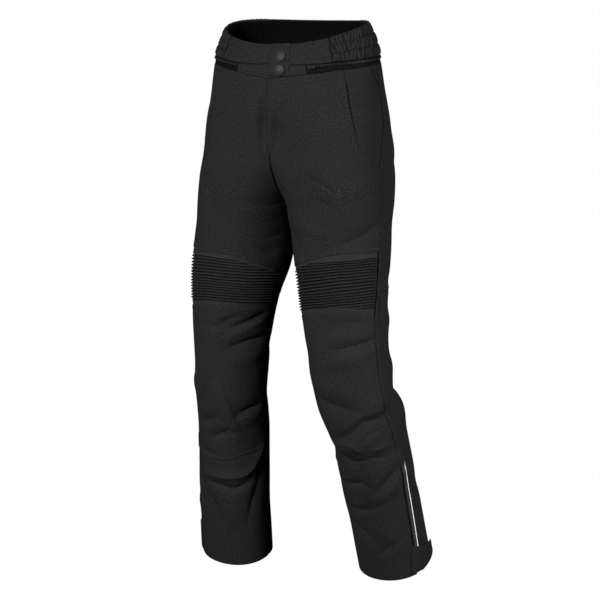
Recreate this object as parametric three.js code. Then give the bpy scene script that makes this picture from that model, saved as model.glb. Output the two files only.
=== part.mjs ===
// Motorcycle trousers in black textile, worn and open at waist and hems. Units are mm.
// +X is the wearer's left, -Y the front, +Z up. The origin is the middle of the waist.
import * as THREE from 'three';

const CLOTH = 2.0;        // wall of a leg panel, mm
const BAND = 2.8;         // wall of the waistband
const SEAM_GAP = 0.3;     // space left between two sewn pieces
const RIM = -30;          // drop of the waistband's top edge
const HEM = 1030;         // drop of the leg ends at the front
const HEM_BACK = 20;      // how much lower the leg ends hang at the back
const HEM_EASE = 860;     // drop from where the rows begin to follow the hem
const RIBS = 17;          // padded ribs over each knee
const RIB_START = 0.08;   // share of the rib panel left plain above the ribs
const RIB_STOP = 0.89;    // share where the ribs end
const RIB_HEIGHT = 2.6;
const GATHER = 9.5;       // width of one gather in the elastic
const SNAP_ACROSS = 19;

const rad = (degrees) => degrees * Math.PI / 180;
const clamp = (x, low, high) => Math.min(high, Math.max(low, x));
const mix = (a, b, t) => a + (b - a) * t;
const ease = (from, to, x) => {
  const t = clamp((x - from) / (to - from), 0, 1);
  return t * t * (3 - 2 * t);
};

// Leg section at each drop below the waist. outer and inner are the reach along X, front and
// back the half depths, mid the shift along Y, square the corner power, lean the tilt fore and
// aft, dip how far the middle of the front hangs below the sides, tilt the hitch of one hip.
const SECTION_COLUMNS = ['drop', 'outer', 'inner', 'front', 'back', 'mid', 'square', 'lean', 'dip', 'tilt'];
const SECTIONS = [
  [-30, 129, -129, 96, 102, 0, 2.15, 0.065, 17, 0.045],
  [0, 143, -143, 107, 113, 0, 2.15, 0.065, 15, 0.04],
  [25, 150, -150, 111, 117, 0, 2.2, 0.065, 12, 0.035],
  [80, 158, -139, 117, 124, 0, 2.4, 0.06, 5, 0.02],
  [150, 166, -106, 119, 132, 2, 2.7, 0.03, 0, 0],
  [200, 168, -56, 118, 133, 4, 2.75, 0.015, 0, 0],
  [245, 170, -18, 113, 127, 6, 2.9, 0, 0, 0],
  [290, 170, 1, 107, 112, 8, 2.8, 0, 0, 0],
  [350, 171, 3, 98, 98, 8, 2.35, 0, 0, 0],
  [440, 168, 6, 86, 87, 4, 2.15, 0, 0, 0],
  [520, 159, 10, 80, 80, 2, 2.1, 0, 0, 0],
  [620, 151, 14, 72, 75, 2, 2.1, 0, 0, 0],
  [740, 148, 18, 69, 71, 2, 2.1, 0, 0, 0],
  [880, 149, 17, 67, 69, 2, 2.1, 0, 0, 0],
  [1030, 150, 15, 70, 70, 2, 2.1, 0, 0, 0],
];
const CROTCH = 288;
const DIP_BACK = 0.7;     // share of the dip that the back of the waist has
// How each leg is carried: out is the shift away from the middle, back the shift to the rear,
// rise the lift. The wearer's left leg stands bent and set back, the right one almost straight.
const POSE_COLUMNS = ['drop', 'out', 'back', 'rise'];
const POSES = {
  '1': [
    [20, 0, 0, 0], [120, -2, 0, 0], [200, -1, 0, 0], [288, 5, -4, 0], [440, 18, -24, 0],
    [560, 38, -34, 2], [640, 52, -28, 3], [740, 68, 8, 4], [880, 77, 54, 7], [1030, 86, 98, 12],
  ],
  '-1': [
    [20, 0, 0, 0], [120, -6, 0, 0], [200, -3, 0, 0], [288, 7, -4, 0], [440, 28, -20, 0],
    [560, 37, -30, 2], [640, 40, -32, 2], [740, 45, -18, 3], [880, 56, 4, 4], [1030, 66, 34, 5],
  ],
};

// Cloth that hangs further in towards the other leg, in mm by drop.
const SLACK_INSIDE = {
  '1': [
    [288, 0], [300, 1], [315, 2.6], [330, 2.6], [350, 3], [380, 3], [440, -1], [540, 0], [600, 8],
    [640, 6], [690, -1], [716, -1], [768, 6], [850, 8], [930, 5], [1050, 4],
  ],
  '-1': [
    [288, 0], [300, 0], [315, 1], [330, 4], [350, 8.6], [380, 12], [405, 12], [430, 10], [470, 4],
    [560, 1], [640, 0], [700, 2], [760, 5], [850, 5], [940, 3], [1050, 3],
  ],
};

// Smooth curve through the rows of a table, with its slope when asked.
function curve(rows, column, x, slope = false) {
  const xs = rows.map((row) => row[0]);
  const ys = rows.map((row) => row[column]);
  const last = xs.length - 1;
  const secant = (i) => (ys[i + 1] - ys[i]) / (xs[i + 1] - xs[i]);
  const tangent = (i) => {
    if (i === 0) return secant(0);
    if (i === last) return secant(last - 1);
    const before = secant(i - 1);
    const after = secant(i);
    if (before * after <= 0) return 0;
    const h0 = xs[i] - xs[i - 1];
    const h1 = xs[i + 1] - xs[i];
    const w1 = 2 * h1 + h0;
    const w2 = h1 + 2 * h0;
    return (w1 + w2) / (w1 / before + w2 / after);
  };
  let i = 0;
  while (i < last - 1 && x >= xs[i + 1]) i += 1;
  const h = xs[i + 1] - xs[i];
  const t = (x - xs[i]) / h;
  const m0 = tangent(i);
  const m1 = tangent(i + 1);
  if (slope) {
    return (6 * t * t - 6 * t) * (ys[i] - ys[i + 1]) / h
      + (3 * t * t - 4 * t + 1) * m0 + (3 * t * t - 2 * t) * m1;
  }
  return (1 + 2 * t) * (1 - t) ** 2 * ys[i] + t * (1 - t) ** 2 * h * m0
    + t * t * (3 - 2 * t) * ys[i + 1] + t * t * (t - 1) * h * m1;
}
const section = (name, drop, slope) => curve(SECTIONS, SECTION_COLUMNS.indexOf(name), drop, slope);
const carried = (side, name, drop, slope) => {
  const rows = POSES[side];
  return drop < rows[0][0] ? 0 : curve(rows, POSE_COLUMNS.indexOf(name), drop, slope);
};

const slackInside = (side, drop) => (drop < CROTCH ? 0 : curve(SLACK_INSIDE[side], 1, drop));
const hemDrop = (degrees) => HEM + HEM_BACK * (1 - Math.cos(rad(degrees + 90))) / 2;

// Outer face of the cloth. The angle is 0 at the wearer's side, -90 at the front, +90 at the
// back and 180 at the inside of the leg. Above the crotch the two legs' rings meet at the middle.
function formPoint(side, drop, degrees) {
  const angle = rad(degrees);
  const outer = section('outer', drop);
  const inner = section('inner', drop) - slackInside(side, drop);
  const middle = (outer + inner) / 2;
  const half = (outer - inner) / 2;
  const power = section('square', drop);
  const mid = section('mid', drop);
  const depth = Math.sin(angle) < 0 ? section('front', drop) + mid : section('back', drop) - mid;
  const reach = (Math.abs(Math.cos(angle) / half) ** power
    + Math.abs(Math.sin(angle) / depth) ** power) ** (-1 / power);
  const rx = reach * Math.cos(angle);
  const ry = reach * Math.sin(angle);
  const leg = ease(CROTCH, CROTCH + 130, drop);
  const slopeX = (section('outer', drop, true) + section('inner', drop, true)) / 2
    + carried(side, 'out', drop, true);
  const slopeY = section('mid', drop, true) + carried(side, 'back', drop, true);
  const free = 1 - (1 - ease(0, 100, middle + rx)) * (1 - ease(CROTCH, CROTCH + 60, drop));
  const dip = section('dip', drop) * (ry / depth) ** 2 * (ry < 0 ? 1 : DIP_BACK);
  const hips = section('lean', drop) * (mid + ry) - dip + side * section('tilt', drop) * (middle + rx);
  const x = middle + rx + carried(side, 'out', drop) * free;
  const y = mid + ry + carried(side, 'back', drop) * free;
  const z = -drop + leg * (slopeX * rx + slopeY * ry) + carried(side, 'rise', drop) + (1 - leg) * hips;
  return new THREE.Vector3(side * x, y, z);
}

// Angle at which a ring reaches the middle seam, at the front (-1) or the back (+1).
function middleAngle(drop, face) {
  const outer = section('outer', drop);
  const inner = section('inner', drop);
  const middle = (outer + inner) / 2 - SEAM_GAP / 2 - 0.05;
  const half = (outer - inner) / 2;
  const power = section('square', drop);
  const depth = face < 0 ? section('front', drop) + section('mid', drop)
    : section('back', drop) - section('mid', drop);
  const share = clamp(middle / half, 0, 1) ** power;
  const height = depth * Math.max(0, 1 - share) ** (1 / power);
  return face * Math.atan2(height, -middle) * 180 / Math.PI;
}

// Main folds of the cloth as worn: each row runs between two spots, with its half width and its
// height, which is below zero for a trough.
const FOLD_COLUMNS = ['drop1', 'angle1', 'drop2', 'angle2', 'width', 'height'];
const FOLDS = {
  '1': [
    [300, -134, 372, -114, 16, -3.5], [296, -110, 335, -82, 20, 2.5], [190, -100, 150, -55, 26, -2],
    [345, -70, 313, -26, 16, -2.5], [541, -86, 531, -27, 11, -3.5], [519, -80, 512, -35, 14, 2.5],
    [556, -104, 552, -40, 15, 3], [500, -100, 506, -50, 12, -2.5], [618, -139, 647, -67, 14, -3],
    [596, -100, 620, -60, 18, 3], [686, -108, 666, -60, 12, -5], [666, -60, 668, -22, 11, -4],
    [706, -116, 690, -62, 14, 3.5], [640, -55, 648, -18, 13, 3], [730, -70, 740, -30, 15, -3],
    [716, -130, 744, -95, 13, -2.5], [815, -138, 793, -89, 12, -3.5], [778, -30, 820, -71, 12, -3],
    [800, -26, 842, -62, 13, 2.5], [868, -128, 841, -52, 14, -3], [905, -70, 965, -45, 17, 2.5],
    [902, -128, 931, -86, 15, -2.5], [971, -86, 937, -51, 14, -2.5], [560, -140, 610, -150, 16, -3],
    [468, 30, 478, 120, 17, -4], [505, 20, 520, 100, 18, 4], [552, 40, 566, 150, 17, -5],
    [596, 10, 620, 110, 20, 4.5], [650, 30, 668, 140, 18, -5], [700, 5, 712, 100, 20, 4],
    [748, 60, 765, 160, 18, -3.5], [330, 40, 385, 110, 24, -4], [290, 110, 360, 60, 22, 3],
    [240, 60, 300, 110, 26, -4], [165, 70, 205, 30, 28, 3], [850, 20, 900, 90, 20, -3],
    [410, -2, 440, 40, 16, -2.5],
  ],
  '-1': [
    [190, -63, 325, -108, 20, 2.5], [246, -66, 307, -82, 15, -2], [312, -126, 330, -152, 14, -3],
    [366, -128, 372, -152, 13, -3], [180, -95, 150, -55, 26, -2], [566, -112, 553, -140, 10, -4],
    [553, -140, 551, -172, 10, -3.5], [500, -96, 560, -88, 14, 3], [518, -118, 528, -78, 10, -3],
    [531, -109, 503, -160, 10, -3.5], [590, -130, 580, -168, 14, 3], [640, -92, 742, -122, 12, 4.5],
    [640, -76, 690, -62, 15, -3], [688, -124, 681, -162, 12, -4.5], [706, -128, 700, -164, 13, 3],
    [716, -60, 695, -91, 11, -3], [743, -84, 721, -112, 11, -3], [660, -58, 640, -30, 16, 3],
    [830, -63, 820, -132, 12, 4], [815, -140, 770, -170, 12, 3.5], [850, -80, 856, -120, 11, -4],
    [856, -120, 838, -146, 11, -3.5], [872, -61, 946, -98, 14, -3.5], [869, -110, 938, -115, 16, 3],
    [824, -168, 943, -137, 15, -3.5], [470, 30, 482, 120, 17, -4], [512, 20, 524, 100, 18, 3.5],
    [560, 45, 575, 150, 17, -4.5], [608, 10, 630, 110, 20, 4], [662, 35, 680, 140, 18, -4.5],
    [716, 5, 728, 100, 20, 3.5], [330, 45, 380, 112, 24, -4], [286, 112, 350, 62, 22, 3],
    [236, 62, 296, 112, 26, -4], [170, 66, 208, 28, 28, 3], [845, 30, 905, 95, 20, -3],
    [415, -2, 446, 40, 16, -2.5],
  ],
};
function foldHeight(side, drop, degrees, x) {
  const girth = (section('outer', drop) - section('inner', drop)) / 2;
  const scale = rad(1) * clamp(girth, 66, 120);
  let height = 0;
  for (const [drop1, angle1, drop2, angle2, width, tall] of FOLDS[side]) {
    const middle = (angle1 + angle2) / 2;
    let turn = degrees - middle;
    if (turn > 180) turn -= 360;
    if (turn < -180) turn += 360;
    const px = turn * scale;
    const py = drop - drop1;
    const ax = (angle1 - middle) * scale;
    const bx = (angle2 - middle) * scale;
    const by = drop2 - drop1;
    const length = (bx - ax) ** 2 + by ** 2;
    const along = ((px - ax) * (bx - ax) + py * by) / length;
    const held = clamp(along, 0, 1);
    const away = Math.hypot(px - mix(ax, bx, held), py - by * held);
    const taper = 0.35 + 0.65 * Math.sin(Math.PI * clamp(held * 0.8 + 0.1, 0, 1));
    height += tall * taper * Math.exp(-((away / width) ** 2));
  }
  const nearMiddle = 1 - (1 - ease(4, 42, x)) * (1 - ease(CROTCH + 20, CROTCH + 90, drop));
  const bounds = ease(100, 150, drop) * (1 - ease(HEM - 40, HEM - 8, drop));
  return clamp(height, -6, 6) * nearMiddle * bounds;
}

// A spot on the worn cloth, moved out along the surface by lift.
function spot(side, drop, degrees, lift = 0) {
  const base = formPoint(side, drop, degrees);
  const alongDrop = formPoint(side, drop + 0.5, degrees).sub(formPoint(side, drop - 0.5, degrees));
  const alongAngle = formPoint(side, drop, degrees + 0.4).sub(formPoint(side, drop, degrees - 0.4));
  const normal = alongAngle.cross(alongDrop).normalize().multiplyScalar(-side);
  const height = foldHeight(side, drop, degrees, Math.abs(base.x));
  return base.addScaledVector(normal, lift + height);
}
// Degrees that cover one mm round the ring.
const degreesPerMm = (side, drop, degrees) => 1 / formPoint(side, drop, degrees + 0.5)
  .distanceTo(formPoint(side, drop, degrees - 0.5));

// Seams around the waist: drop of the waistband's seam and of the strip's lower seam.
const WAIST_COLUMNS = ['angle', 'band', 'strip'];
const WAIST = [
  [-90, 3, 33], [-74, 6, 28], [-57, 8, 26], [-38, 11, 26], [-24, 16, 30],
  [10, 27, 39], [50, 30, 42], [90, 28, 40],
];
const waistSeam = (name, degrees) => curve(WAIST, WAIST_COLUMNS.indexOf(name), clamp(degrees, -90, 90));
// Side seam from the waist to the hem, and the slanted pocket edge in front of it.
const SIDE_SEAM = [
  [28, -8], [46, -5], [81, 4], [132, 6], [177, 0], [216, -9], [300, -20], [417, -20],
  [492, -24], [612, -22], [742, -23], [1030, -19],
];
const POCKET_EDGE = [[28, -30], [126, -32], [169, -32], [181, -29], [197, -22.5], [213, -12.6], [219, -9.9]];
const sideSeam = (drop) => curve(SIDE_SEAM, 1, drop);
const pocketEdge = (drop) => (drop < 28 ? -30 : curve(POCKET_EDGE, 1, drop));
// Seams across the front of each leg.
const ACROSS_COLUMNS = ['angle', 'ribTop', 'ribEnd', 'kneeEnd'];
const ACROSS = {
  '1': [[-180, 410, 494, 776], [-130, 398, 480, 764], [-89, 378, 473, 762], [-69, 368, 473, 762], [-22, 368, 490, 770]],
  '-1': [[-180, 418, 506, 778], [-140, 404, 491, 778], [-97, 393, 488, 791], [-52, 404, 500, 794], [-22, 404, 508, 792]],
};
const acrossSeam = (side, name, degrees) => curve(ACROSS[side], ACROSS_COLUMNS.indexOf(name), clamp(degrees, -180, -22));
// Middle of the ankle zip by distance below the knee panel, and the zip's and piping's edges in degrees.
const ANKLE_ZIP = [[9, -17.5], [100, -20], [193, -23], [262, -24.5]];
const ZIP_FRONT = -5.5;
const ZIP_BACK = 4.2;
const PIPING_BACK = 5.9;
// Hem strap: its front end by drop, its top edge by angle, and its rear end in degrees.
const STRAP_START = [[955, -30], [1030, -40]];
const STRAP_TOP = [[-42, 960], [-30, 967], [-14, 979], [0, 988], [12, 997], [34, 1013]];
const STRAP_END = 34;
const STRAP_ABOVE_HEM = 5;
const kneeEndAtSide = (side) => acrossSeam(side, 'kneeEnd', -22);
const zipMiddle = (side, drop) => curve(ANKLE_ZIP, 1, clamp(drop - kneeEndAtSide(side), 9, 262));
const frontSideEdge = (side, drop) => {
  const start = kneeEndAtSide(side);
  return mix(sideSeam(drop), zipMiddle(side, drop) + ZIP_FRONT, ease(start, start + 9, drop));
};
const backSideEdge = (side, drop) => {
  const start = kneeEndAtSide(side);
  return mix(sideSeam(drop), zipMiddle(side, drop) + PIPING_BACK, ease(start, start + 9, drop));
};

// Drops where the rows of neighbouring panels meet a shared seam.
const MIDDLE_STOPS = [68, 102, 135, 167, 198, 226, 250, 268, 280, 288, 300, 330, 365];
const POCKET_STOPS = [50, 80, 110, 140, 165, 180, 197, 213];
const RIB_STOPS = [0, 0.3, 0.6, 0.8, 1];
const KNEE_ROWS = 10;
const SHIN_ROWS = 7;
const spread = (from, to, count) => Array.from({ length: count + 1 }, (_, i) => mix(from, to, i / count));
const stops = (side) => {
  const inner = (name) => acrossSeam(side, name, -180);
  const outer = (name) => acrossSeam(side, name, -22);
  return {
    ribInner: RIB_STOPS.map((t) => mix(inner('ribTop'), inner('ribEnd'), t)),
    ribOuter: RIB_STOPS.map((t) => mix(outer('ribTop'), outer('ribEnd'), t)),
    kneeInner: spread(inner('ribEnd'), inner('kneeEnd'), KNEE_ROWS),
    kneeOuter: spread(outer('ribEnd'), outer('kneeEnd'), KNEE_ROWS),
    shinInner: [inner('kneeEnd'), ...spread(inner('kneeEnd') + 9, HEM, SHIN_ROWS)],
    shinOuter: [outer('kneeEnd'), ...spread(outer('kneeEnd') + 9, HEM, SHIN_ROWS)],
    thighInner: [waistSeam('strip', -90), ...MIDDLE_STOPS, inner('ribTop')],
    thighOuter: [waistSeam('strip', -30), ...POCKET_STOPS, 217, 245, 275, 305, 335, outer('ribTop')],
    seatInner: [waistSeam('strip', 90), ...MIDDLE_STOPS, inner('ribTop')],
    seatOuter: [waistSeam('strip', sideSeam(36)), 58, ...POCKET_STOPS.slice(1), 217, 245, 275, 305, 335, outer('ribTop')],
  };
};

// Closed wall between an outer and an inner grid of points; the grids may differ in fineness.
const parts = new THREE.Group();
parts.name = 'motorcycle_trousers';
function finish(name, points, triangles, finishOf) {
  let volume = 0;
  for (const [a, b, c] of triangles) {
    volume += points[a].dot(new THREE.Vector3().crossVectors(points[b], points[c]));
  }
  const turned = volume < 0 ? triangles.map(([a, b, c]) => [a, c, b]) : triangles;
  const geometry = new THREE.BufferGeometry();
  geometry.setAttribute('position', new THREE.Float32BufferAttribute(points.flatMap((p) => [p.x, p.y, p.z]), 3));
  geometry.setIndex(turned.flat());
  geometry.computeVertexNormals();
  const [color, roughness, metalness] = finishOf;
  const mesh = new THREE.Mesh(geometry, new THREE.MeshStandardMaterial({ color, roughness, metalness }));
  mesh.name = name;
  parts.add(mesh);
  return mesh;
}
function wall(name, outer, inner, finishOf) {
  const points = [];
  const triangles = [];
  const grid = (rows) => rows.map((row) => row.map((p) => points.push(p) - 1));
  const out = grid(outer);
  const into = grid(inner);
  const fill = (index, flip) => {
    for (let i = 0; i + 1 < index.length; i += 1) {
      for (let j = 0; j + 1 < index[0].length; j += 1) {
        const [a, b, c, d] = [index[i][j], index[i + 1][j], index[i + 1][j + 1], index[i][j + 1]];
        const shortA = points[a].distanceTo(points[c]) <= points[b].distanceTo(points[d]);
        const pair = shortA ? [[a, b, c], [a, c, d]] : [[a, b, d], [b, c, d]];
        for (const [p, q, r] of pair) triangles.push(flip ? [p, r, q] : [p, q, r]);
      }
    }
  };
  fill(out, false);
  fill(into, true);
  const strip = (a, b) => {
    let i = 0;
    let j = 0;
    while (i < a.length - 1 || j < b.length - 1) {
      const nextA = (i + 1) / (a.length - 1);
      const nextB = (j + 1) / (b.length - 1);
      if (j === b.length - 1 || (i < a.length - 1 && nextA <= nextB)) {
        triangles.push([a[i], a[i + 1], b[j]]);
        i += 1;
      } else {
        triangles.push([a[i], b[j + 1], b[j]]);
        j += 1;
      }
    }
  };
  const left = (index) => index.map((row) => row[0]).reverse();
  const right = (index) => index.map((row) => row[row.length - 1]);
  const bottom = (index) => [...index[index.length - 1]].reverse();
  strip(out[0], into[0]);
  strip(left(out), left(into));
  strip(bottom(out), bottom(into));
  strip(right(out), right(into));
  return finish(name, points, triangles, finishOf);
}

// Where the rows and columns of a panel lie. edges are angle functions of the drop, firstStops
// and lastStops the drops along them, top and end the drops of its crosswise seams by angle.
function layOut({ side, edges, firstStops, lastStops, columns, top, end, hemEnd = false }) {
  const rows = firstStops.length;
  const across = (share, drop) => {
    const first = edges[0](drop);
    const last = edges[1](drop);
    const inset = SEAM_GAP / 2 * degreesPerMm(side, drop, mix(first, last, share));
    const way = Math.sign(last - first);
    return mix(first + way * inset, last - way * inset, share);
  };
  const places = Array.from({ length: rows }, () => []);
  for (let j = 0; j <= columns; j += 1) {
    const share = j / columns;
    const solve = (seam, guess) => {
      let drop = guess;
      for (let turn = 0; turn < 8; turn += 1) drop = seam(across(share, drop));
      return drop;
    };
    const guessTop = mix(firstStops[0], lastStops[0], share);
    const guessEnd = mix(firstStops[rows - 1], lastStops[rows - 1], share);
    const topShift = top ? solve(top, guessTop) - guessTop : 0;
    const endShift = end ? solve(end, guessEnd) - guessEnd : 0;
    for (let i = 0; i < rows; i += 1) {
      const t = i / (rows - 1);
      let drop = mix(firstStops[i], lastStops[i], share);
      const lowered = hemEnd ? clamp((drop - HEM_EASE) / (HEM - HEM_EASE), 0, 1) : t;
      drop += topShift * (1 - t) + endShift * lowered;
      if (i === 0) drop += SEAM_GAP / 2;
      if (i === rows - 1 && !hemEnd) drop -= SEAM_GAP / 2;
      places[i].push([drop, across(share, drop)]);
    }
  }
  return places;
}
const pointsAt = (side, places, lift) => places.map((row, i) => row.map(([drop, degrees], j) => (
  spot(side, drop, degrees, typeof lift === 'function' ? lift(i, j) : lift))));
function panel(name, options, finishOf, lift = 0, thick = CLOTH) {
  const places = layOut(options);
  const outer = pointsAt(options.side, places, lift);
  const under = typeof lift === 'function' ? (i, j) => lift(i, j) - thick : lift - thick;
  return wall(name, outer, pointsAt(options.side, places, under), finishOf);
}

// Finishes: colour, roughness, metalness.
const TEXTILE = ['#242425', 0.86, 0];
const STRETCH = ['#1f1f20', 0.8, 0];
const BACK_TEXTILE = ['#212122', 0.88, 0];
const MESH = ['#161617', 0.92, 0];
const ZIP_TAPE = ['#19191a', 0.75, 0];
const METAL = ['#8f9194', 0.3, 0.9];
const REFLECTIVE = ['#d9dadb', 0.45, 0.1];

for (const side of [1, -1]) {
  const hand = side > 0 ? 'left' : 'right';
  const at = stops(side);
  const inseam = () => -180;
  const inseamBack = () => 180;
  const middleFront = (drop) => middleAngle(drop, -1);
  const middleBack = (drop) => middleAngle(drop, 1);
  const thighSide = (drop) => (drop < 214.5 ? pocketEdge(drop) : sideSeam(drop));

  // Thigh front, from the waist strip to the ribs. Its edge stands proud of the pocket.
  panel(`front_panel_${hand}`, {
    side, edges: [middleFront, thighSide], firstStops: at.thighInner, lastStops: at.thighOuter,
    columns: 12, top: (a) => waistSeam('strip', a), end: (a) => acrossSeam(side, 'ribTop', a),
  }, TEXTILE, (i, j) => (j === 12 && i > 0 && i < 7 ? 0.7 : 0));

  // Pocket side, set back under the front panel's slanted edge.
  panel(`pocket_side_${hand}`, {
    side, edges: [pocketEdge, sideSeam],
    firstStops: [waistSeam('strip', -30), ...POCKET_STOPS],
    lastStops: [waistSeam('strip', sideSeam(36)), 58, ...POCKET_STOPS.slice(1)],
    columns: 4, top: (a) => waistSeam('strip', a),
  }, TEXTILE, (i, j) => (i > 0 && i < 7 ? -1.1 * (1 - j / 4) : 0));

  // Seat and back of the thigh, down to the seam behind the knee.
  panel(`seat_panel_${hand}`, {
    side, edges: [middleBack, sideSeam],
    firstStops: [...at.seatInner, at.ribInner[1], at.ribInner[2]],
    lastStops: [...at.seatOuter, at.ribOuter[1], at.ribOuter[2]],
    columns: 12, top: (a) => waistSeam('strip', a),
  }, BACK_TEXTILE);

  // Back of the lower leg.
  panel(`calf_panel_${hand}`, {
    side, edges: [inseamBack, (drop) => backSideEdge(side, drop)],
    firstStops: [...at.ribInner.slice(2), ...at.kneeInner.slice(1), ...at.shinInner.slice(1)],
    lastStops: [...at.ribOuter.slice(2), ...at.kneeOuter.slice(1), ...at.shinOuter.slice(1)],
    columns: 12, end: hemDrop, hemEnd: true,
  }, BACK_TEXTILE);

  // Ribbed stretch panel over the knee: coarse rows are split, and each rib stands out between them.
  {
    const options = {
      side, edges: [inseam, sideSeam], firstStops: at.ribInner, lastStops: at.ribOuter,
      columns: 12, top: (a) => acrossSeam(side, 'ribTop', a), end: (a) => acrossSeam(side, 'ribEnd', a),
    };
    const coarse = layOut(options);
    const coarsePoints = pointsAt(side, coarse, 0);
    const lifted = pointsAt(side, coarse, 1);
    const shares = [0, ...spread(RIB_START, RIB_STOP, 2 * RIBS), 1];
    const outer = [];
    for (const [i, share] of shares.entries()) {
      let k = 0;
      while (k < RIB_STOPS.length - 2 && share > RIB_STOPS[k + 1]) k += 1;
      const t = (share - RIB_STOPS[k]) / (RIB_STOPS[k + 1] - RIB_STOPS[k]);
      outer.push(coarse[0].map((_, j) => {
        const point = coarsePoints[k][j].clone().lerp(coarsePoints[k + 1][j], t);
        const away = lifted[k][j].clone().lerp(lifted[k + 1][j], t).sub(point).normalize();
        const fade = j === 0 || j === 12 ? 0.15 : 1;
        const raised = i > 1 && i < shares.length - 1 && i % 2 === 0;
        return point.addScaledVector(away, raised ? RIB_HEIGHT * fade : 0);
      }));
    }
    wall(`knee_rib_${hand}`, outer, pointsAt(side, coarse, -CLOTH), STRETCH);
  }

  // Knee panel over the pad, down to the curved seam.
  panel(`knee_panel_${hand}`, {
    side, edges: [inseam, sideSeam], firstStops: at.kneeInner, lastStops: at.kneeOuter,
    columns: 12, top: (a) => acrossSeam(side, 'ribEnd', a), end: (a) => acrossSeam(side, 'kneeEnd', a),
  }, TEXTILE);

  // Shin panel to the hem.
  panel(`shin_panel_${hand}`, {
    side, edges: [inseam, (drop) => frontSideEdge(side, drop)],
    firstStops: at.shinInner, lastStops: at.shinOuter,
    columns: 12, top: (a) => acrossSeam(side, 'kneeEnd', a), end: hemDrop, hemEnd: true,
  }, TEXTILE);

  // Ankle zip, with its row of teeth proud of the tape, and the reflective piping behind it.
  const zipStops = at.shinOuter.slice(1);
  panel(`ankle_zip_${hand}`, {
    side, firstStops: zipStops, lastStops: zipStops, columns: 6, end: hemDrop, hemEnd: true,
    edges: [(drop) => zipMiddle(side, drop) + ZIP_FRONT, (drop) => zipMiddle(side, drop) + ZIP_BACK],
  }, ZIP_TAPE, (i, j) => (j === 3 ? 0.9 : -0.4), 1.4);
  panel(`ankle_piping_${hand}`, {
    side, firstStops: zipStops, lastStops: zipStops, columns: 2, end: hemDrop, hemEnd: true,
    edges: [(drop) => zipMiddle(side, drop) + ZIP_BACK, (drop) => zipMiddle(side, drop) + PIPING_BACK],
  }, REFLECTIVE, (i, j) => (j === 1 ? 1.1 : 0.3), 1.8);

  // Cloth cap over the top of the ankle zip.
  const capTop = kneeEndAtSide(side) - 22;
  const capRows = [capTop, capTop + 12, capTop + 24, capTop + 34];
  panel(`zip_cap_${hand}`, {
    side, firstStops: capRows, lastStops: capRows, columns: 3,
    edges: [() => -26, () => -10],
  }, TEXTILE, (i, j) => 2.6 + (j > 0 && j < 3 ? 0.5 : 0), 1.2);

  // Hem strap with hook and loop, closed over the foot of the zip.
  panel(`hem_strap_${hand}`, {
    side, firstStops: spread(962, 1024, 3), lastStops: spread(1013, 1036, 3), columns: 10,
    edges: [(drop) => curve(STRAP_START, 1, drop), () => STRAP_END],
    top: (a) => curve(STRAP_TOP, 1, a), end: (a) => hemDrop(a) - STRAP_ABOVE_HEM,
  }, TEXTILE, (i, j) => 3.6 + (j > 7 ? (j - 7) * 0.8 : 0), 1.8);

  // Waistband front, elastic side with gathers, and the strip under it.
  const bandRows = (a, b) => [spread(RIM, waistSeam('band', a), 3), spread(RIM, waistSeam('band', b), 3)];
  const [frontA, frontB] = bandRows(-90, -37);
  panel(`waistband_front_${hand}`, {
    side, edges: [middleFront, () => -37], firstStops: frontA, lastStops: frontB, columns: 6,
    end: (a) => waistSeam('band', a),
  }, TEXTILE, 0.4, BAND);
  {
    const columns = 2 * Math.round(170 / GATHER);
    const heights = [0.2, 1.5, 0.3, 1.6, 0.3, 1.5, 0.2];
    const first = spread(RIM, waistSeam('band', -37), 6);
    const last = spread(RIM, waistSeam('band', 40), 6);
    const fine = layOut({
      side, edges: [() => -37, () => 40], firstStops: first, lastStops: last, columns,
      end: (a) => waistSeam('band', a),
    });
    const outer = pointsAt(side, fine, (i, j) => heights[i] + (i % 2 === 1 && j > 0 && j < columns ? (j % 2 ? 0.9 : -0.8) : 0));
    const coarse = [fine[0], fine[3], fine[6]].map((row) => row.filter((_, j) => j % 3 === 0));
    wall(`waistband_elastic_${hand}`, outer, pointsAt(side, coarse, -BAND + 0.4), STRETCH);
  }
  panel(`waist_strip_${hand}`, {
    side, edges: [middleFront, () => -57], columns: 4,
    firstStops: spread(waistSeam('band', -90), waistSeam('strip', -90), 2),
    lastStops: spread(waistSeam('band', -57), waistSeam('strip', -57), 2),
    top: (a) => waistSeam('band', a), end: (a) => waistSeam('strip', a),
  }, TEXTILE);
}

// A band right round the waist or part of it: stations run from the right front over the back.
function roundBand(name, stations, drops, outLift, thick, finishOf) {
  const place = (lift) => drops.map((dropAt, i) => stations.map(([side, degrees]) => (
    spot(side, dropAt(degrees), degrees, typeof lift === 'function' ? lift(i) : lift))));
  const inLift = typeof outLift === 'function' ? (i) => outLift(i) - thick : outLift - thick;
  return wall(name, place(outLift), place(inLift), finishOf);
}
const overTheBack = (from, count) => {
  const angles = spread(from, 90, count);
  return [...angles.slice(0, -1).map((a) => [-1, a]), ...angles.reverse().map((a) => [1, a])];
};
// Back of the waistband, one piece between the two elastic sides.
roundBand('waistband_back', overTheBack(40.1, 6), [
  () => RIM + 0.15, (a) => mix(RIM, waistSeam('band', a), 0.5), (a) => waistSeam('band', a) - 0.15,
], 0.4, BAND, TEXTILE);
// Zip that joins a jacket, under the waistband from one hip round the back to the other.
roundBand('jacket_zip', overTheBack(-56.7, 18), [
  (a) => waistSeam('band', a) + 0.15,
  (a) => mix(waistSeam('band', a), waistSeam('strip', a), 0.3),
  (a) => mix(waistSeam('band', a), waistSeam('strip', a), 0.45),
  (a) => waistSeam('strip', a) - 0.15,
], (i) => [-0.3, 1.1, 0, 0][i], 1.9, ZIP_TAPE);
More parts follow.
